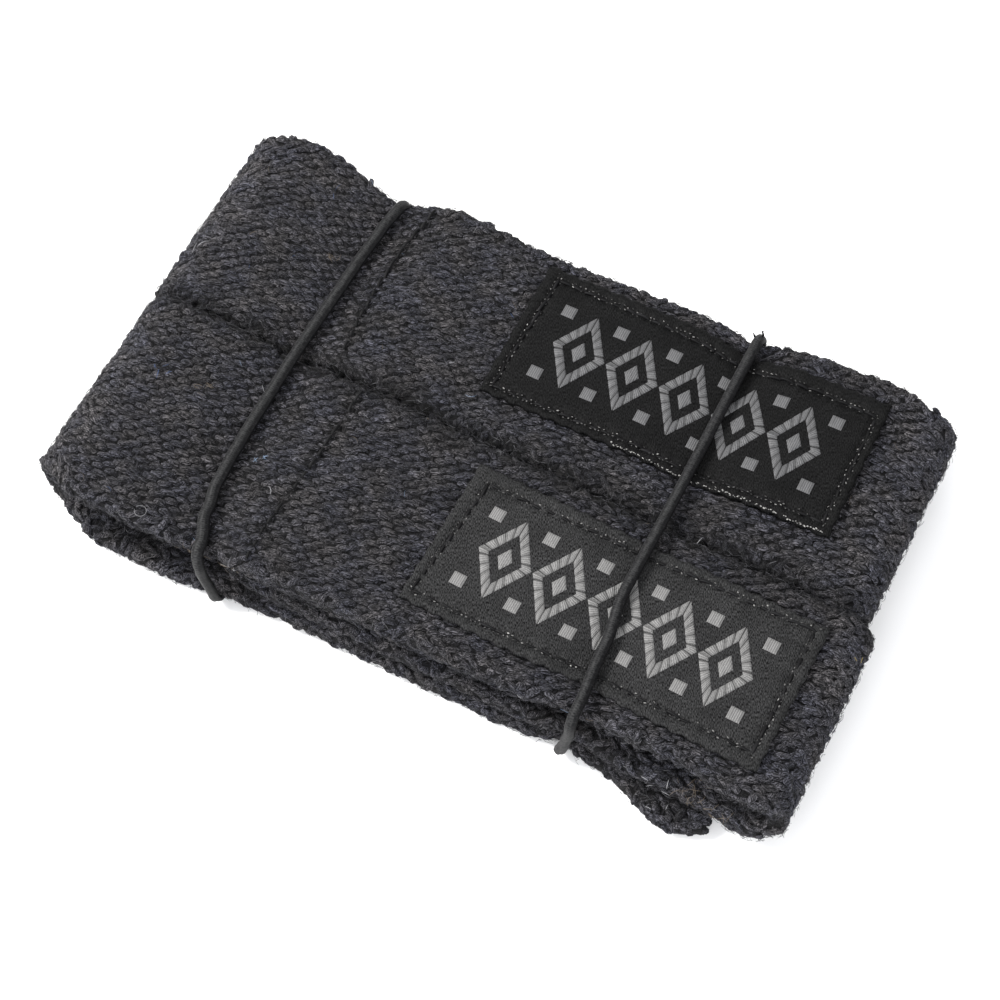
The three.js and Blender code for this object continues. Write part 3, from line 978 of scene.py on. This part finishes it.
hair_material = toned_material("raised cotton fibres", hair_colours, roughness=0.8)
for number, (name, strap) in enumerate(straps.items()):
    strap["fuzz"] = []
    for step, (kind, settings) in enumerate(hair_kinds.items()):
        start, forward, lifted, size = hair_roots(strap, kind)
        spots = points_piece(
            f"{name}_{kind}_fuzz", start, ahead=forward, out=lifted, size=size,
            tone=random.beta(1.6, 3, len(start)),
        )
        hairs = laid_tree(f"{name} {kind} hairs", {"Radius": "Float"}, hair_maker(kind), hair_material)
        radius, seed = settings["radius"] * MM, 40 + 2 * number + step
        values = {"Radius": radius, "Slip": 0.0, "Turn": 0.15, "Seed": seed}
        strap["fuzz"].append(grown(spots, hairs, hair_material, values))


# Both ends of each strap are cut, so their yarns stick out in short soft
# stubs, and loose threads and lint of other colours cling to the cotton.
stub_columns = 25
stub_levels = (-1.15, -0.4, 0.35, 1.1)
stub_out = -0.25
stub_depth = 0.6
stub_inset = 0.4
stub_floor = 0.6
lint_radius = 0.035
lint_bends = 6
lint_lift = 0.06
white = (0.5, 0.5, 0.52)
grey = (0.2, 0.2, 0.21)
pale_blue = (0.2, 0.27, 0.38)
blue = (0.05, 0.08, 0.17)
tan = (0.13, 0.105, 0.08)
yellow = (0.4, 0.3, 0.08)
violet = (0.05, 0.04, 0.08)

# Each tuft: its place, its colour, how many fibres, their length and their spread
lint_tufts = {
    "front": (
        ((-37.8, -21.1, 17.5), pale_blue, 9, 1.2, 0.2),
        ((-53.4, -13.9, 17.5), tan, 8, 1.9, 0.6),
        ((-61.8, -14.2, 17.5), blue, 7, 1.6, 0.5),
        ((14.9, -44.5, 13), white, 3, 1.0, 0.3),
        ((24.6, -43.5, 12), white, 3, 1.2, 0.8),
        ((72.6, -8.9, 14), yellow, 3, 1.0, 0.3),
        ((72.6, -20.3, 9), violet, 14, 1.6, 1.0),
        ((-39, -43.5, 12.5), tan, 14, 1.6, 1.3),
        ((-33.5, -43.5, 12), tan, 12, 1.8, 1.4),
        ((-32, -43.5, 12.5), white, 4, 1.2, 0.9),
        ((57, -40, 9.5), tan, 22, 2.2, 1.5),
        ((62, -43.5, 7.5), tan, 12, 1.8, 1.2),
        ((50, -43.5, 7), white, 7, 1.8, 2.5),
    ),
    "back": (
        ((-46.8, 22.1, 17.5), tan, 7, 1.6, 0.5),
        ((-70.7, 12.4, 17.5), white, 2, 2.2, 0.3),
    ),
}
lint_ring = dict(place=(-49.5, -40.5, 17.0), radius=1.05, lift=0.35, turn=5.9, colour=(0.3, 0.3, 0.31))
scattered_lint = 70
scattered_colours = (white, grey, grey, pale_blue, blue, tan, tan)


def cut_end_stubs(strap, start):
    """Yarn stubs over one cut end, pointing out of it."""
    edge, up = (part.ravel() for part in np.meshgrid(np.linspace(-0.94, 0.94, stub_columns), stub_levels))
    edge = edge + random.normal(0, 0.02, len(edge))
    up = up + random.normal(0, 0.15, len(up))
    s = np.full(len(edge), stub_depth if start else strap["cut_length"] - stub_depth)
    at = webbing_points(strap, "middle", s, edge, stub_inset, up)
    ahead = webbing_points(strap, "middle", s + (-0.5 if start else 0.5), edge, stub_inset, up) - at
    ahead = unit(unit(ahead) + random.normal(0, 0.14, (len(at), 3)))
    out = square_to(ahead, np.cross(ahead, (0, 1.0, 0)) + random.normal(0, 0.3, (len(at), 3)))
    at = at + ahead * (stub_out + random.uniform(-0.25, 0.2, (len(at), 1)))
    at[:, 2] = np.maximum(at[:, 2], stub_floor)
    return at, ahead, out


for number, (name, strap) in enumerate(straps.items()):
    at, ahead, out = (
        np.concatenate(parts) for parts in zip(cut_end_stubs(strap, True), cut_end_stubs(strap, False))
    )
    size = np.clip(random.normal((0.66, 0.95, 0.95), 0.14, (len(at), 3)), 0.5, 1.1)
    stubs = points_piece(
        f"{name}_end_stubs", at, ahead=ahead, out=out, size=size,
        tone=random.uniform(-0.3, 0.7, len(at)), felt=np.ones(len(at)),
    )
    values = {**float_values, "Dive": 0.0, "Slip": 0.0, "Rings": 5, "Seed": 30 + number}
    strap["yarns"].append(grown(stubs, floats, yarn, values))


def strand(path, radius):
    """The points and faces of a thin closed tube along a path that narrows to its ends."""
    path = np.asarray(path, float)
    ahead = unit(np.gradient(path, axis=0))
    across = unit(np.cross(ahead, (0.3, 0.2, 0.93)))
    up = np.cross(ahead, across)
    angle = np.arange(hair_sides) / hair_sides * 2 * math.pi
    slim = radius * (1 - 0.6 * abs(np.linspace(-1, 1, len(path))) ** 3)
    ring = across[:, None] * np.cos(angle)[:, None] + up[:, None] * np.sin(angle)[:, None]
    return (path[:, None] + ring * slim[:, None, None]).reshape(-1, 3), ribbon_faces(len(path), hair_sides)


def on_yarn(strap, place):
    """The spot on the yarns nearest to a place, two directions along the cloth there, and the way out."""
    at, ahead, out, _ = strap["crossings"]
    k = np.argmin(((at - group_shift - place) ** 2).sum(1))
    return at[k] + out[k] * (float_height / 2 + lint_lift), ahead[k], np.cross(out[k], ahead[k]), out[k]


def fibre_path(strap, place, length):
    """A short curved fibre that lies on the cloth at a place."""
    spot, ahead, across, out = on_yarn(strap, place)
    turn = random.uniform(0, 2 * math.pi)
    along = ahead * math.cos(turn) + across * math.sin(turn)
    side = np.cross(out, along)
    t = np.linspace(-0.5, 0.5, lint_bends)[:, None]
    bend, lift = random.uniform(-0.9, 0.9), random.uniform(0.05, 0.4)
    arch = 0.25 - t * t
    return spot + along * t * length + side * bend * arch * length + out * lift * arch * length


def lint(name, strap):
    """A strap's tufts and scattered fibres: the path, colour and radius of each one."""
    found = []
    for middle, colour, count, length, spread in lint_tufts[name]:
        for _ in range(count):
            place = middle + random.normal(0, spread, 3)
            own_length = length * random.uniform(0.5, 1.3)
            shade = random.uniform(0.6, 1.2)
            found.append((fibre_path(strap, place, own_length), np.array(colour) * shade, lint_radius))
    at = strap["crossings"][0]
    for k in random.choice(len(at), scattered_lint):
        colour = np.array(scattered_colours[random.integers(len(scattered_colours))])
        path = fibre_path(strap, at[k], random.uniform(0.6, 2.2))
        found.append((path, colour * random.uniform(0.5, 1), lint_radius))
    return found


def tinted_material(name):
    """Stray fibres that each keep a colour of their own, a little uneven."""
    material, shader = new_material(name, roughness=0.7, specular=0.15)
    tree = material.node_tree
    shade = math_node(tree, "MULTIPLY_ADD", noise_node(tree, object_place(tree), scale=1900), 0.8, 0.6)
    shaded = vector_node(tree, "SCALE", attribute(tree, "tint"), shade)
    tree.links.new(shaded, shader.inputs["Base Color"])
    return material


def joined(parts):
    """The points and faces of several shapes as one."""
    first = np.cumsum([0] + [len(points) for points, _ in parts])
    faces = [[k + at for k in face] for at, (_, own) in zip(first, parts) for face in own]
    return np.concatenate([points for points, _ in parts]), faces


def strands_piece(name, strands, material):
    """Strands of given paths, colours and radii as one piece."""
    parts = [strand(path, radius) for path, _, radius in strands]
    piece = mesh_piece(name, *joined(parts), material)
    outwards(piece)
    mark(piece, "tint", np.repeat([colour for _, colour, _ in strands], [len(p) for p, _ in parts], axis=0))
    return piece


lint_material = tinted_material("lint and stray fibres")
for name, strap in straps.items():
    strands = lint(name, strap)
    if name == "front":
        spot, ahead, across, out = on_yarn(strap, lint_ring["place"])
        turn = np.linspace(0, lint_ring["turn"], 16)[:, None]
        ring = spot + lint_ring["radius"] * (ahead * np.cos(turn) + across * np.sin(turn))
        strands.append((ring + out * lint_ring["lift"], np.array(lint_ring["colour"]), lint_radius))
    strap["lint"] = strands_piece(f"{name}_lint", strands, lint_material)


# Each label is a woven black patch with its edges turned under, sewn flat on
# the top run all round. The stitches pull its hem into small puckers.
hem_rise = 0.2
hem_groove = 0.5
pucker_depth = 0.24
groove_width = 0.7
pucker_width = 1.2
hem_step = 0.5
turned_rim = 0.3
turned_reach = 0.22
stitch_pitch = 2.7
label_step = 0.5
label_slant = math.radians(62)
label_grain = (2.1, 9.0, 1.0)
label_dark = (0.002, 0.002, 0.002)
label_light = (0.037, 0.037, 0.0375)
# The same satin on both labels: the back label's low tone is painted shade
label_lit_and_shaded_tones = {"front": 1.02, "back": 0.32}
stitch_corners = {
    "front": dict(left=(3.2, 1.4), right=(2.2, 2.0), far=(3.0, 1.4), near=(2.1, 2.9)),
    "back": dict(left=(2.7, 1.7), right=(1.6, 2.0), far=(2.0, 3.2), near=(1.7, 2.5)),
}


def label_points(name, along, across, up):
    """Points on a label: along and across from its middle, and up from the middle of its thickness."""
    label = labels[name]
    cos, sin = math.cos(label["turn"]), math.sin(label["turn"])
    x = label["x"] + along * cos - across * sin
    y = label["y"] + along * sin + across * cos
    rise = web_thickness * run_value(straps[name], "top", "rise", x)
    z = packet_height + rise + label_gap + label_thickness / 2 + up
    return squeezed(np.stack([x, y, z], 1)) + group_shift


def stitch_box(name):
    """The four corners of a label's line of stitches, from the far left one round by the right."""
    inset = stitch_corners[name]
    x, y = label_length / 2, label_width / 2
    return np.array([
        (-x + inset["left"][0], y - inset["far"][0]),
        (x - inset["right"][0], y - inset["far"][1]),
        (x - inset["right"][1], -y + inset["near"][1]),
        (-x + inset["left"][1], -y + inset["near"][0]),
    ])


def label_relief(name, along, across):
    """How high the cloth stands over its even level."""
    corners = stitch_box(name)
    away = np.full(len(along), 99.0)
    step = np.zeros(len(along))
    inside = np.full(len(along), 99.0)
    for a, b in zip(corners, np.roll(corners, -1, 0)):
        length = np.hypot(*(b - a))
        t = ((along - a[0]) * (b[0] - a[0]) + (across - a[1]) * (b[1] - a[1])) / length
        side = ((along - a[0]) * (b[1] - a[1]) - (across - a[1]) * (b[0] - a[0])) / length
        ends = np.maximum(np.maximum(-t, t - length), 0)
        far = np.hypot(side, ends)
        step = np.where(far < away, t, step)
        away = np.minimum(away, far)
        inside = np.minimum(inside, side)
    rim = np.minimum(label_length / 2 - abs(along), label_width / 2 - abs(across))
    wander = np.sin(along * 0.9 + across * 0.4) + np.sin(along * 0.37 - across * 0.8 + 1.3)
    hem = hem_rise * np.clip(0.5 - inside / hem_step, 0, 1) * (1 + 0.3 * wander)
    groove = hem_groove * np.exp(-((away / groove_width) ** 2))
    pull = np.cos(2 * math.pi * step / stitch_pitch + wander)
    pucker = pucker_depth * pull * np.exp(-((away / pucker_width) ** 2))
    pillow = 0.05 * np.sin(along * 0.23 + 0.5) * np.cos(across * 0.3) + 0.018 * wander
    turned = turned_rim * np.exp(-rim / turned_reach)
    return hem - groove + pucker + pillow - turned


def cloth_label(name, material):
    """The closed patch: a fine upper side, and an under side that follows it."""
    columns = int(label_length / label_step) + 1
    rows = int(label_width / label_step) + 1
    along, across = (
        grid.ravel() for grid in np.meshgrid(
            np.linspace(-1, 1, columns) * label_length / 2, np.linspace(-1, 1, rows) * label_width / 2,
            indexing="ij",
        )
    )
    relief = label_relief(name, along, across)
    wave = 0.2 * np.sin(along * 1.9 + 0.6) * (abs(across) / (label_width / 2)) ** 8
    sway = 0.13 * np.sin(across * 1.7 + 0.2) * (abs(along) / (label_length / 2)) ** 16
    shape = (along + sway, across + wave)
    top = label_points(name, *shape, label_thickness / 2 + relief)
    under = label_points(name, *shape, -label_thickness / 2)
    index = np.arange(columns * rows).reshape(columns, rows)
    quads = np.stack([index[:-1, :-1], index[1:, :-1], index[1:, 1:], index[:-1, 1:]], -1).reshape(-1, 4)
    rim = np.concatenate([index[:-1, 0], index[-1, :-1], index[:0:-1, -1], index[0, :0:-1]])
    ahead = np.roll(rim, -1)
    shell = np.stack([rim, rim + len(top), ahead + len(top), ahead], 1)
    faces = np.concatenate([quads, quads[:, ::-1] + len(top), shell])
    piece = mesh_piece(f"{name}_label", np.concatenate([top, under]), faces, material)
    outwards(piece)
    spots = np.tile(np.stack([along, across], 1), (2, 1))
    mark(piece, "weave", np.pad(spots, ((0, 0), (0, 1))))
    return piece


def label_material(name, tone):
    """Dull black satin: short fine floats that slant across it, and a slow variation that is slight wear and
    painted shading.
    """
    material, shader = new_material(f"{name} label's black satin", roughness=0.65, specular=0.05)
    tree = material.node_tree
    weave = attribute(tree, "weave")
    drawn = vector_node(tree, "MULTIPLY", turned_node(tree, weave, label_slant), label_grain)
    grain = noise_node(tree, drawn, 1.0, Detail=2)
    satin = ramp_node(tree, grain, (0.41, label_dark), (0.615, label_light))
    # Slow noise for wear on the cloth and painted shading across it
    wear_and_painted_shading = noise_node(tree, weave, 0.14, Detail=3)
    # The tone scales the satin; the back label's low one is painted shade
    shade = add_node(
        tree, "ShaderNodeMapRange", {"Value": wear_and_painted_shading, "To Min": 0.5 * tone, "To Max": 1.5 * tone}
    )
    worn_and_shaded = vector_node(tree, "SCALE", satin, shade.outputs[0])
    dress(tree, shader, worn_and_shaded, grain, strength=0.6, depth=0.15)
    return material


for name, label in labels.items():
    label["piece"] = cloth_label(name, label_material(name, label_lit_and_shaded_tones[name]))


# The labels' raised ornament is satin stitch in grey thread: a row of open
# lozenges with a solid one in each, and squares in the corners between.
lozenge_count = 5
lozenge_half = (4.2, 6.9)
lozenge_pitch = 10.6
band_share = 0.25
inner_share = 0.36
square_half = 1.3
square_row = 7.2
thread_rise = 0.22
thread_sunk = 0.12
thread_step = 0.3
bar_pitch = 1.8
bar_gap = 0.2
band_profile = ((-1, 0), (-0.85, 0.7), (-0.4, 1), (0.4, 1), (0.85, 0.7), (1, 0))
solid_profile = ((1, 0), (0.9, 0.7), (0.6, 1), (0.1, 1))
# The same grey thread on both labels: the back one's darker colour is painted shade, like its cloth
ornament_lit_and_shaded_colours = {"front": (0.13, 0.128, 0.126), "back": (0.075, 0.075, 0.077)}


def satin_shape(name, corners, profile, solid):
    """A raised four-cornered solid or closed band.

    Each row of the profile scales the corners by its share and lifts them by its height."""
    corners = np.array(corners, float)
    centre = corners.mean(0)
    around, run = [], 0.0
    for a, b in zip(corners, np.roll(corners, -1, 0)):
        length = np.hypot(*(b - a))
        count = max(2, int(length / thread_step))
        t = np.arange(count) / count
        around.append(np.column_stack([a + (b - a) * t[:, None] - centre, run + length * t]))
        run += length
    around = np.concatenate(around)
    points, threads = [], []
    pitch = run / max(1, round(run / bar_pitch))
    gap = np.exp(-(((around[:, 2] / pitch % 1 - 0.5) * pitch / bar_gap) ** 2)) * (not solid)
    for share, high in profile:
        flat = centre + around[:, :2] * share
        rise = (thread_rise + thread_sunk) * high * (1 - 0.75 * gap)
        up = label_thickness / 2 + label_relief(name, *flat.T) - thread_sunk + rise
        points.append(label_points(name, *flat.T, up))
        step = flat[:, 0] if solid else around[:, 2]
        threads.append(np.column_stack([step, np.full(len(flat), share * 5), gap]))
    faces = ribbon_faces(len(profile), len(around), looped=not solid)
    return np.concatenate(points), faces, np.concatenate(threads)


def ornament(name):
    """All the shapes of one label's ornament."""
    band = [(1 + share * band_share, high) for share, high in band_profile]
    shapes = []
    for k in range(lozenge_count):
        x = (k - (lozenge_count - 1) / 2) * lozenge_pitch
        a, b = lozenge_half
        corners = np.array([(x - a, 0), (x, -b), (x + a, 0), (x, b)])
        shapes.append(satin_shape(name, corners, band, solid=False))
        inner = (x, 0) + (corners - (x, 0)) * inner_share
        shapes.append(satin_shape(name, inner, solid_profile, solid=True))
    for k in range(lozenge_count + 1):
        x = (k - lozenge_count / 2) * lozenge_pitch
        h = square_half
        for y in (-square_row, square_row):
            corners = [(x - h, y - h), (x + h, y - h), (x + h, y + h), (x - h, y + h)]
            shapes.append(satin_shape(name, corners, solid_profile, solid=True))
    return shapes


def thread_material(name, colour):
    """Shiny embroidery thread, seen as fine ridges across each bar."""
    material, shader = new_material(name, roughness=0.5, specular=0.35)
    tree = material.node_tree
    threads = attribute(tree, "threads")
    lines = add_node(
        tree, "ShaderNodeTexWave",
        {"Vector": threads, "Scale": 0.8, "Distortion": 1.5, "Detail": 2, "Detail Scale": 2},
        wave_type="BANDS", bands_direction="X",
    )
    grain = noise_node(tree, threads, 3, Detail=2)
    mixed = math_node(tree, "MULTIPLY_ADD", lines.outputs["Fac"], 0.5, grain)
    grey_thread = ramp_node(tree, mixed, (0.3, [c * 0.45 for c in colour]), (1, [c * 1.5 for c in colour]))
    gap = add_node(tree, "ShaderNodeSeparateXYZ", {0: threads}).outputs["Z"]
    shaded = vector_node(tree, "SCALE", grey_thread, math_node(tree, "MULTIPLY_ADD", gap, -0.8, 1.0))
    dress(tree, shader, shaded, mixed, strength=0.9, depth=0.14)
    return material


for name, label in labels.items():
    shapes = ornament(name)
    piece = mesh_piece(
        f"{name}_label_ornament", *joined([shape[:2] for shape in shapes]),
        thread_material(f"{name} label thread", ornament_lit_and_shaded_colours[name]),
    )
    outwards(piece)
    mark(piece, "threads", np.concatenate([threads for _, _, threads in shapes]))
    label["ornament"] = piece


# Black sewing thread holds the labels down all round, and a row of the same
# stitches crosses each strap where its doubled inner end is sewn.
stitch_length = 2.55
stitch_radius = {"label": 0.3, "cross": 0.27}
stitch_sizes = {"label": (0.8, 1.05), "cross": (0.45, 0.95)}
stitch_share = {"label": 1.0, "cross": 0.88}
stitch_sunk = -0.35
stitch_rise = 0.12
stitch_lift = 0.18
cross_stitch_lift = 0.34
knot_radius = 0.15
knot_shape = (1.5, 0.8, 0.7)
knot_share = 0.85
knot_rows = ((0.5, 0.36), (0.1, 0.46), (0.3, -0.4), (0.62, -0.34), (0.8, 0.3))
edge_row = dict(label="back", start=-8, pitch=0.36, inset=0.2, lift=0.05)
stitch_colours = ((0.001, 0.001, 0.0012), (0.0022, 0.0022, 0.0025), (0.005, 0.005, 0.0055))
knot_colours = ((0.012, 0.012, 0.012), (0.06, 0.059, 0.057), (0.26, 0.255, 0.245))


def stitch(tree, given):
    """One stitch: a short tight thread that goes down at both ends."""
    half, sunk, rise = stitch_length / 2 * MM, stitch_sunk * MM, stitch_rise * MM
    line = add_node(
        tree, "GeometryNodeCurvePrimitiveBezierSegment",
        {"Resolution": 7, "Start": (-half, 0, sunk), "Start Handle": (-half * 0.75, 0, rise),
         "End Handle": (half * 0.75, 0, rise), "End": (half, 0, sunk)},
    )
    return thread_tube(tree, line, given["Radius"], 6)


stitch_material = toned_material("black sewing thread", stitch_colours, roughness=0.6)
stitches = laid_tree("stitches", {"Radius": "Float"}, stitch, stitch_material)


def sewn(name, kind, at, ahead, out, seed):
    """Stitches on the given points as one piece."""
    kept = random.random(len(at)) < stitch_share[kind]
    at, ahead, out = at[kept], ahead[kept], out[kept]
    long = random.uniform(*stitch_sizes[kind], len(at))
    size = np.stack([long, np.ones(len(at)), np.ones(len(at))], 1)
    spots = points_piece(
        name, at, ahead=unit(ahead), out=unit(out), size=size, tone=random.random(len(at)),
    )
    values = {"Radius": stitch_radius[kind] * MM, "Slip": 0.1 * MM, "Turn": math.radians(8), "Seed": seed}
    return grown(spots, stitches, stitch_material, values)


def knot(tree, given):
    """One small loop of the locking thread that shows between two stitches."""
    ball = add_node(
        tree, "GeometryNodeMeshUVSphere", {"Segments": 6, "Rings": 4, "Radius": given["Radius"]}
    )
    flat = add_node(tree, "GeometryNodeTransform", {"Geometry": ball.outputs["Mesh"], "Scale": knot_shape})
    return flat.outputs[0]


knot_material = toned_material("locking thread", knot_colours, roughness=0.6, specular=0.3)
knots = laid_tree("locking knots", {"Radius": "Float"}, knot, knot_material)


def upright(count):
    """As many vectors that point straight up."""
    return np.tile((0, 0, 1.0), (count, 1))


def label_stitches(name, shift=0.0, side=0.0):
    """Where the stitches round a label lie, and which way each one runs."""
    flats, steps = [], []
    corners = stitch_box(name)
    for a, b in zip(corners, np.roll(corners, -1, 0)):
        length = np.hypot(*(b - a))
        count = round(length / stitch_pitch)
        t = (np.arange(count) + 0.5 + shift)[:, None] / count
        flats.append(a + (b - a) * t + np.array([a[1] - b[1], b[0] - a[0]]) / length * side)
        steps.append(np.tile((b - a) / length, (count, 1)))
    flat, step = np.concatenate(flats), np.concatenate(steps)

    def on_label(flat):
        return label_points(name, *flat.T, label_thickness / 2 + label_relief(name, *flat.T) + stitch_lift)

    ahead = on_label(flat + step * 0.8) - on_label(flat - step * 0.8)
    return on_label(flat), ahead, upright(len(flat))


def bright_edge(name):
    """The locking thread that shows as a light row along the near edge of one label's right half."""
    along = np.arange(edge_row["start"], label_length / 2 - 1, edge_row["pitch"])
    along = along + random.normal(0, 0.12, len(along))
    across = edge_row["inset"] - label_width / 2 + abs(random.normal(0, 0.16, len(along)))
    up = label_thickness / 2 + label_relief(name, along, across) + edge_row["lift"]
    at = label_points(name, along, across, up)
    return at, label_points(name, along + 0.5, across, up) - at, upright(len(along))


def cross_stitches(name):
    """Where the row of stitches across a strap's top run lies."""
    strap = straps[name]
    across = np.arange(-0.93, 0.94, stitch_pitch / (web_width / 2))
    line = strap["line"]
    top = line["level"] == 3
    order = np.argsort(line["x"][top])

    def on_strap(across):
        x = np.interp(across, strap["sewn_across"], strap["sewn_x"]) - group_shift[0]
        s = np.interp(x, line["x"][top][order], line["outside"][top][order])
        return webbing_points(strap, "outside", s, across, edge_round, -web_thickness / 2 - cross_stitch_lift)

    ahead = on_strap(across + 0.03) - on_strap(across - 0.03)
    return on_strap(across), ahead, upright(len(across))


for number, name in enumerate(straps):
    rows = [label_stitches(name, *row) for row in knot_rows]
    dull_count = sum(len(row[0]) for row in rows)
    if name == edge_row["label"]:
        rows.append(bright_edge(name))
    at, ahead, out = (np.concatenate(parts) for parts in zip(*rows))
    seen = random.random(len(at)) < knot_share
    bright = np.flatnonzero(seen) >= dull_count
    count = len(bright)
    size = random.uniform(0.5, 1.3, (count, 3))
    tone = np.where(bright, random.uniform(0.5, 1, count), 0.85 * random.beta(1.3, 1.7, count))
    spots = points_piece(
        f"{name}_label_knots", at[seen], ahead=unit(ahead[seen]), out=out[seen], size=size, tone=tone,
    )
    values = {"Radius": knot_radius * MM, "Slip": 0.12 * MM, "Turn": 0.6, "Seed": 50 + number}
    labels[name]["knots"] = grown(spots, knots, knot_material, values)
    labels[name]["stitches"] = sewn(f"{name}_label_stitches", "label", *label_stitches(name), 60 + number)
    straps[name]["stitches"] = sewn(f"{name}_cross_stitches", "cross", *cross_stitches(name), 70 + number)


# Each elastic is a thin round cord of rubber strands in a braided black cover,
# joined into a loop and stretched once round both packets.
braid_sides = 18
braid_step = 0.33
braid_rise = 0.045
braid_strands = 6
braid_pitch = 4.2
rib_pitch = 0.4
cord_proud = -0.1
crease_width = 0.35
# Painted shade down the side of each cord that faces +X, away from the key light
painted_shade_start = 0.45
painted_shade_reach = 0.25
# A painted shaded groove line along the cord: where it turns from the crease and how wide it is
painted_groove_shade_turn = 1.25
painted_groove_shade_width = 0.2
cord_dark = (0.002, 0.002, 0.0025)
cord_light = (0.037, 0.0372, 0.0377)
cord_fray_colour = (0.01, 0.011, 0.013)
cord_fray_radius = 0.24
cord_frays = (
    ((30.6, 42.1, 15.6), (30.6, 41.4, 17.5), (30.4, 41.0, 18.9)),
    ((31.9, 42.3, 15.6), (32.2, 41.7, 17.7), (32.1, 41.8, 18.7), (31.8, 41.9, 19.0), (32.1, 42.1, 19.2)),
)


def cord_route(cord):
    """Points down the middle of a cord's loop, from the middle of its top over the near edge."""
    share = (packet_height - cord["squeeze"] - groove_depth) / packet_height
    rise = web_thickness * run_value(straps["front"], "top", "rise", cord["x"])
    high = groove_depth + (packet_height + cord["cover"] + rise) * share + cord_gap + cord_diameter / 2
    low = floor_clearance + cord_diameter / 2 + cord_proud
    near, far = cord_corner - cord["near"], cord["far"] - cord_corner
    corners = []
    for y, z, start in (
        (near, high - cord_corner, 0.5), (near, low + cord_corner, 1), (far, low + cord_corner, 1.5),
        (far, high - cord_corner, 2),
    ):
        angle = (start + np.linspace(0, 0.5, 16)) * math.pi
        corners.append(np.stack([y + cord_corner * np.cos(angle), z + cord_corner * np.sin(angle)], 1))
    flat = np.concatenate([[(0, high)], *corners, [(0, high)]])
    length = np.concatenate([[0], np.cumsum(np.hypot(*np.diff(flat, axis=0).T))])
    at = np.linspace(0, length[-1], int(length[-1] / braid_step), endpoint=False)
    y, z = np.interp(at, length, flat[:, 0]), np.interp(at, length, flat[:, 1])
    x = cord["x"] + web_width * eased(cord["around"], cord["drift"], at / length[-1])
    return np.stack([x, y, z], 1) + group_shift, at


def braided_cord(name, cord, material):
    """The cord as a tube whose skin shows the crossing strands of its braid, and stores its painted shade."""
    route, at = cord_route(cord)
    ahead = unit(np.roll(route, -1, 0) - np.roll(route, 1, 0))
    sideways = unit(np.array([1.0, 0, 0]) - ahead * ahead[:, :1])
    outward = np.cross(ahead, sideways)
    angle = np.arange(braid_sides) / braid_sides * 2 * math.pi
    turn = at[:, None] / (at[-1] / round(at[-1] / braid_pitch)) * 2 * math.pi
    braid = np.maximum(np.cos(braid_strands * angle + turn), np.cos(braid_strands * angle - turn))
    crease = np.exp(-(((angle - cord["groove"]) / crease_width) ** 2))
    radius = cord_diameter / 2 + braid_rise * (braid - 0.6) - cord["groove_cut"] * crease
    wide, high = cord["flatness"]
    across = np.cos(angle) * radius * wide
    up = np.sin(angle) * radius * high + cord_proud
    points = route[:, None] + sideways[:, None] * across[..., None] + outward[:, None] * up[..., None]
    faces = ribbon_faces(len(route), braid_sides, looped=True)
    piece = mesh_piece(f"{name}_elastic", points.reshape(-1, 3), faces, material)
    outwards(piece)
    # Painted shade down the cord's +X side
    painted_shade_side = 0.9 * np.clip((np.cos(angle) - painted_shade_start) / painted_shade_reach, 0, 1)
    # A painted shaded groove line, and painted shade in the crease, go with the side's shade into the skin's
    # third value
    painted_groove_shade = 0.7 * np.exp(-(((angle - cord["groove"] - painted_groove_shade_turn) / painted_groove_shade_width) ** 2))
    lines = np.maximum(np.maximum(painted_shade_side, painted_groove_shade), 0.8 * crease**4)
    skin = np.stack([np.repeat(at, braid_sides), np.tile(angle, len(at)), np.tile(lines, len(at))], 1)
    mark(piece, "skin", skin)
    return piece


def elastic_material():
    """Braided polyester: dark shiny threads in steep spirals, darkened by the painted shade stored in the
    skin.
    """
    material, shader = new_material("braided black elastic", roughness=0.6, specular=0.15)
    tree = material.node_tree
    along, around, line = add_node(tree, "ShaderNodeSeparateXYZ", {0: attribute(tree, "skin")}).outputs
    ridges = []
    for lean in (4, -4):
        start = math_node(tree, "MULTIPLY", around, lean)
        phase = math_node(tree, "MULTIPLY_ADD", along, 2 * math.pi / rib_pitch, start)
        ridges.append(math_node(tree, "SINE", phase))
    ridge = math_node(tree, "MAXIMUM", *ridges)
    grain = noise_node(tree, object_place(tree), scale=2200, Detail=2)
    worked = math_node(tree, "MULTIPLY_ADD", ridge, 0.2, grain)
    height = math_node(tree, "MULTIPLY_ADD", line, -0.45, worked)
    colour = ramp_node(tree, height, (0.25, cord_dark), (0.95, cord_light))
    dress(tree, shader, colour, height, strength=0.7, depth=0.1)
    return material


braid = elastic_material()
for name, cord in cords.items():
    cord["piece"] = braided_cord(name, cord, braid)
    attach(cord["piece"], "root")
    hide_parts(cord["node"])

frays = strands_piece(
    "right_elastic_frays",
    [(np.array(path) + group_shift, np.array(cord_fray_colour), cord_fray_radius) for path in cord_frays],
    lint_material,
)
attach(frays, "root")

for name, strap in straps.items():
    label = labels[name]
    on_strap = [*strap["yarns"], *strap["fuzz"], strap["lint"], strap["stitches"]]
    for piece in (strap["piece"], *on_strap):
        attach(piece, "root")
    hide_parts(strap["node"])
    on_label = [label["ornament"], label["stitches"], label["knots"]]
    for piece in (label["piece"], *on_label):
        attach(piece, "root")
    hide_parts(label["node"])
